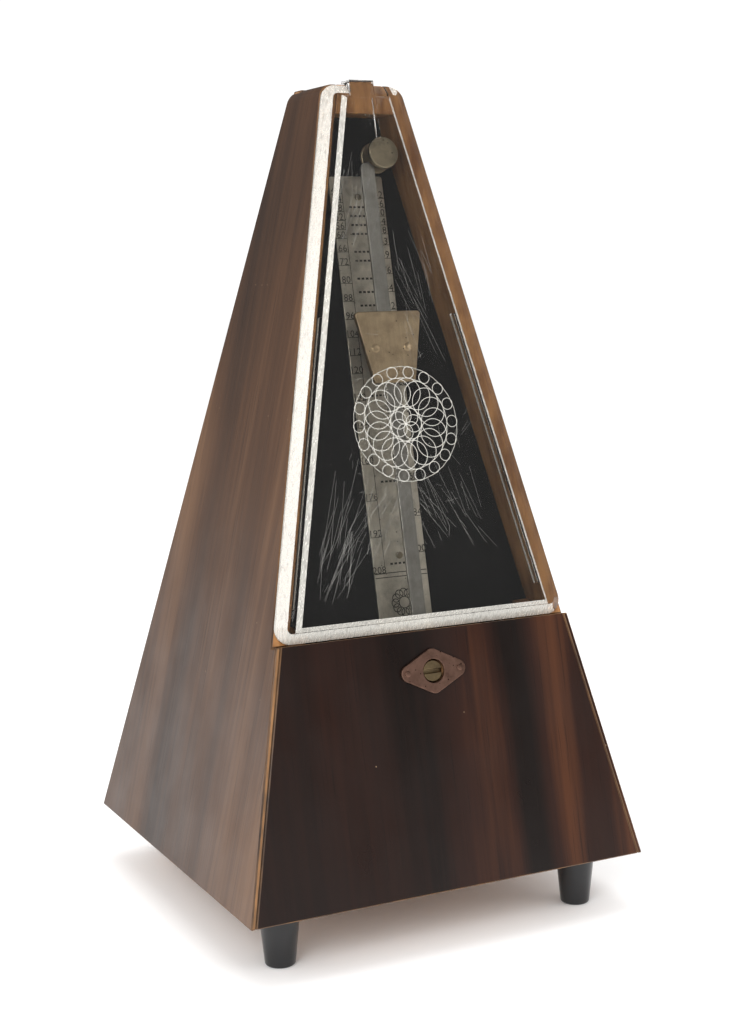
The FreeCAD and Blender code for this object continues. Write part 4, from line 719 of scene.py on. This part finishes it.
class METRONOME_OT_dial(bpy.types.Operator):
    """Black board, printed scale plate, nails and rest pin"""
    bl_idname = "metronome.dial"
    bl_label = "Dial"

    def execute(self, context):
        look = context.scene.metronome_dial
        metal = context.scene.metronome_metal
        board = flat_paint("board_black", (0.010, 0.010, 0.011), 0.6, (0.06, 0.057, 0.05), 0.05)
        finished("dial_board", [board], 0.2 * MM)
        plate = worn_metal("scale_silver", look.plate, scaled(look.plate, 0.55), 0.42, (900, 900, 20),
                           0.7, 0.10)
        finished("scale_plate", [plate], 0.12 * MM)
        nickel = worn_metal("dull_nickel", metal.nickel, scaled(metal.nickel, 0.45), 0.36, (300, 300, 300),
                            0.7, 0.3)
        finished("rest_pin", [nickel], 0.28 * MM, steps=3)
        finished("scale_nails", [nickel], 0.12 * MM)
        self.print_scale(look)
        return {"FINISHED"}

    def print_scale(self, look):
        """Tempo numbers in two columns, their lines, the column rules and a small ornament."""
        ink = flat_paint("scale_ink", look.ink, 0.5)
        low, high = face_box("scale_plate")
        front = low.y - 0.015 * MM
        thickness = 0.02 * MM
        pitch, column = look.pitch, look.column
        top_mark = look.mark_60 + 20 * pitch
        pieces, left_marks, right_marks = [], [], []
        for i, tempo in enumerate(tempo_steps()):
            height = top_mark - (tempo - 40) * pitch
            left = i % 2 == 0
            (left_marks if left else right_marks).append(height)
            centre = low.x + column / 2 if left else high.x - column / 2
            foot = height + look.line * 0.8
            pieces.append(figure(str(tempo), centre, foot, look.figure, front, thickness, ink))
        for marks, centre in ((left_marks, low.x + column / 2), (right_marks, high.x - column / 2)):
            base = bpy.data.meshes.new("tick_points")
            base.from_pydata([(centre, front + thickness / 2, h) for h in marks], [], [])
            pieces.append(grow("ticks", base, tick_tree(), {"Size": (column * 0.96, thickness, look.line),
                                                            "Material": ink}))
        form = bmesh.new()
        last = left_marks[-1]
        line = look.line
        for x in (low.x + column, high.x - column):
            strip(form, [(x - line / 2, last), (x + line / 2, last), (x + line / 2, high.z - 1 * MM),
                         (x - line / 2, high.z - 1 * MM)], front, thickness)
        for h in (last, last - 1.15 * MM):
            strip(form, [(low.x + 0.2 * MM, h), (high.x - 0.2 * MM, h), (high.x - 0.2 * MM, h + line * 1.4),
                         (low.x + 0.2 * MM, h + line * 1.4)], front, thickness)
        self.word_bars(form, top_mark, pitch, front, thickness)
        rules = from_form("scale_rules", form, Matrix.Identity(4))
        rules.data.materials.append(ink)
        pieces.append(rules)
        petals = grow("scale_ornament", bpy.data.meshes.new("ornament_base"), ring_of_loops_tree(),
                      {"Petals": 12, "Radius": 2.6 * MM, "Petal": 1.1 * MM, "Line": 0.12 * MM,
                       "Material": ink})
        petals.data.transform(Matrix.Translation((0, front, last - 8 * MM)) @ UPRIGHT
                              @ Matrix.Diagonal((1, 1, 0.1, 1)))
        pieces.append(petals)
        whole = join("scale_print", pieces)
        whole.data.transform(FACE)
        settle(whole, "case")

    def word_bars(self, form, top_mark, pitch, front, thickness):
        """Rows of short dashes that mark the tempo bands between the columns."""
        for tempo in (46, 50, 54, 58, 66, 70, 78, 84, 90, 96, 112, 130, 168, 204):
            height = top_mark - (tempo - 40) * pitch
            for i in range(5):
                x = (-2.9 + 1.25 * i) * MM
                strip(form, [(x, height - 0.28 * MM), (x + 0.8 * MM, height - 0.28 * MM),
                             (x + 0.8 * MM, height + 0.28 * MM), (x, height + 0.28 * MM)], front, thickness)


def figure(text, x, height, tall, depth, thickness, ink):
    """A printed number centred on x, standing on a height, in the face's frame."""
    curve = bpy.data.curves.new("figure", "FONT")
    curve.body, curve.size, curve.align_x = text, tall * 1.38, "CENTER"
    curve.extrude = thickness / 2
    curve.resolution_u = 2
    obj = bake(plain_object("figure", curve))
    obj.data.transform(Matrix.Translation((x, depth + thickness / 2, height)) @ UPRIGHT)
    obj.data.materials.clear()
    obj.data.materials.append(ink)
    for polygon in obj.data.polygons:
        polygon.material_index = 0
    return obj


class METRONOME_OT_pendulum(bpy.types.Operator):
    """Rod, sliding weight, bob, arbor and the plate round the pivot"""
    bl_idname = "metronome.pendulum"
    bl_label = "Pendulum"

    def execute(self, context):
        metal = context.scene.metronome_metal
        brass = worn_metal("weight_brass", metal.brass, scaled(metal.brass, 0.55), 0.38, (2000, 60, 60),
                           0.6, 0.15)
        copper = worn_metal("copper_plate", metal.copper, scaled(metal.copper, 0.4), 0.40, (300, 300, 300),
                            0.8, 0.5)
        steel = worn_metal("rod_steel", metal.steel, scaled(metal.steel, 0.5), 0.30, (2200, 60, 40), 0.4)
        screw = worn_metal("pivot_screw", (0.30, 0.22, 0.12), (0.10, 0.075, 0.045), 0.32, (800, 60, 60), 0.7)
        for node in ("weight_plate", "pendulum_bob"):
            finished(node, [brass], 0.22 * MM, steps=3)
        finished("weight_rivets", [brass], 0.1 * MM)
        for node in ("pendulum_rod", "weight_clip", "pendulum_arbor", "front_pallet", "rear_pallet"):
            finished(node, [steel], 0.12 * MM)
        finished("pendulum_screw", [screw], 0.15 * MM)
        finished("escutcheon_plate", [copper], 0.16 * MM, steps=3)
        finished("escutcheon_pins", [copper], 0.05 * MM)
        finished("key_plate", [copper], 0.2 * MM, steps=3)
        return {"FINISHED"}


class METRONOME_OT_movement(bpy.types.Operator):
    """Brass and steel of the clockwork and the winding key"""
    bl_idname = "metronome.movement"
    bl_label = "Movement"

    def execute(self, context):
        brass = worn_metal("movement_brass", (0.60, 0.42, 0.17), (0.34, 0.22, 0.09), 0.25, (60, 900, 60), 0.5)
        steel = worn_metal("movement_steel", (0.42, 0.42, 0.43), (0.2, 0.19, 0.18), 0.24, (900, 60, 60), 0.4)
        blued = worn_metal("blued_steel", (0.05, 0.07, 0.14), (0.03, 0.03, 0.05), 0.28, (60, 60, 900), 0.5)
        for node in ("movement_left_plate", "movement_right_plate", "plate_pillars", "front_bridge",
                     "rear_cock", "escape_cock", "barrel", "barrel_cover", "second_wheel", "escape_wheel"):
            painted(node, brass)
        for node in ("pillar_screws", "movement_screws", "barrel_arbor", "second_arbor", "second_pinion",
                     "escape_arbor", "escape_pinion", "ratchet_wheel", "click", "click_screw", "base_screws",
                     "foot_screws"):
            painted(node, steel)
        for node in ("mainspring", "click_spring"):
            painted(node, blued)
        finished("winding_key", [brass], 0.3 * MM, steps=3)
        return {"FINISHED"}


class METRONOME_OT_stage(bpy.types.Operator):
    """Pale floor, soft lights and the camera"""
    bl_idname = "metronome.stage"
    bl_label = "Stage"

    def execute(self, context):
        look = context.scene.metronome_stage
        form = bmesh.new()
        bmesh.ops.create_grid(form, x_segments=1, y_segments=1, size=6.0)
        floor = from_form("floor", form, Matrix.Identity(4))
        paint = Finish("floor_paint", Base_Color=look.floor, Roughness=0.9, Specular_IOR_Level=0.1)
        floor.data.materials.append(paint.material)
        self.surroundings(context.scene)
        self.light("key_light", (-0.75, -0.75, 0.65), 0.55, look.key_power)
        self.light("right_light", (0.75, -0.55, 0.50), 0.5, look.key_power * 0.25, False)
        self.light("top_light", (0.0, 0.15, 1.1), 0.7, look.key_power * 0.45, False)
        self.camera(context, look)
        context.scene.view_settings.view_transform = "Standard"
        return {"FINISHED"}

    def surroundings(self, scene):
        world = bpy.data.worlds.new("surroundings")
        world.use_nodes = True
        scene.world = world
        nodes, links = world.node_tree.nodes, world.node_tree.links
        path = nodes.new("ShaderNodeLightPath")
        # glossy rays see a darker room, so that the varnish and the clear door stay deep
        shade = nodes.new("ShaderNodeMapRange")
        shade.inputs["To Min"].default_value, shade.inputs["To Max"].default_value = 1.08, 0.22
        links.new(path.outputs["Is Glossy Ray"], shade.inputs["Value"])
        links.new(shade.outputs[0], nodes["Background"].inputs["Strength"])
        nodes["Background"].inputs["Color"].default_value = (1, 1, 1, 1)

    def light(self, name, place, side, power, mirrored=True):
        lamp = bpy.data.lights.new(name, "AREA")
        lamp.energy, lamp.size = power, side
        obj = plain_object(name, lamp)
        obj.visible_glossy = mirrored
        obj.location = place
        aim = Vector((0, 0, 0.11)) - obj.location
        obj.rotation_euler = aim.to_track_quat("-Z", "Y").to_euler()

    def camera(self, context, look):
        lens = bpy.data.cameras.new("camera")
        lens.sensor_fit, lens.sensor_height, lens.lens = "VERTICAL", 36.0, look.lens
        lens.clip_start = 0.01
        camera = plain_object("camera", lens)
        away = Vector((sin(look.azimuth) * cos(look.elevation), -cos(look.azimuth) * cos(look.elevation),
                       sin(look.elevation)))
        turn = away.to_track_quat("Z", "Y").to_matrix().to_4x4() @ Matrix.Rotation(look.roll, 4, "Z")
        camera.matrix_world = Matrix.Translation(look.place) @ turn
        context.scene.camera = camera


class METRONOME_PT_panel(bpy.types.Panel):
    """Lists the metronome's pieces"""
    bl_idname = "METRONOME_PT_panel"
    bl_label = "Metronome"
    bl_space_type = "VIEW_3D"
    bl_region_type = "UI"
    bl_category = "Metronome"

    def draw(self, context):
        for operator in OPERATORS:
            self.layout.operator(operator.bl_idname)
        for name in SETTINGS:
            group = getattr(context.scene, name)
            for key in group.bl_rna.properties.keys():
                if key not in ("rna_type", "name"):
                    self.layout.prop(group, key)


OPERATORS = (METRONOME_OT_stage, METRONOME_OT_case, METRONOME_OT_door, METRONOME_OT_dial,
             METRONOME_OT_pendulum, METRONOME_OT_movement)
SETTINGS = {"metronome_case": CaseSettings, "metronome_door": DoorSettings, "metronome_dial": DialSettings,
            "metronome_metal": MetalSettings, "metronome_stage": StageSettings}


def register():
    for kind in (*SETTINGS.values(), *OPERATORS, METRONOME_PT_panel):
        bpy.utils.register_class(kind)
    for name, kind in SETTINGS.items():
        setattr(bpy.types.Scene, name, PointerProperty(type=kind))


def unregister():
    for name in SETTINGS:
        delattr(bpy.types.Scene, name)
    for kind in reversed((*SETTINGS.values(), *OPERATORS, METRONOME_PT_panel)):
        bpy.utils.unregister_class(kind)


def main():
    register()
    for operator in OPERATORS:
        group, name = operator.bl_idname.split(".")
        getattr(getattr(bpy.ops, group), name)()


if __name__ == "__main__":
    main()
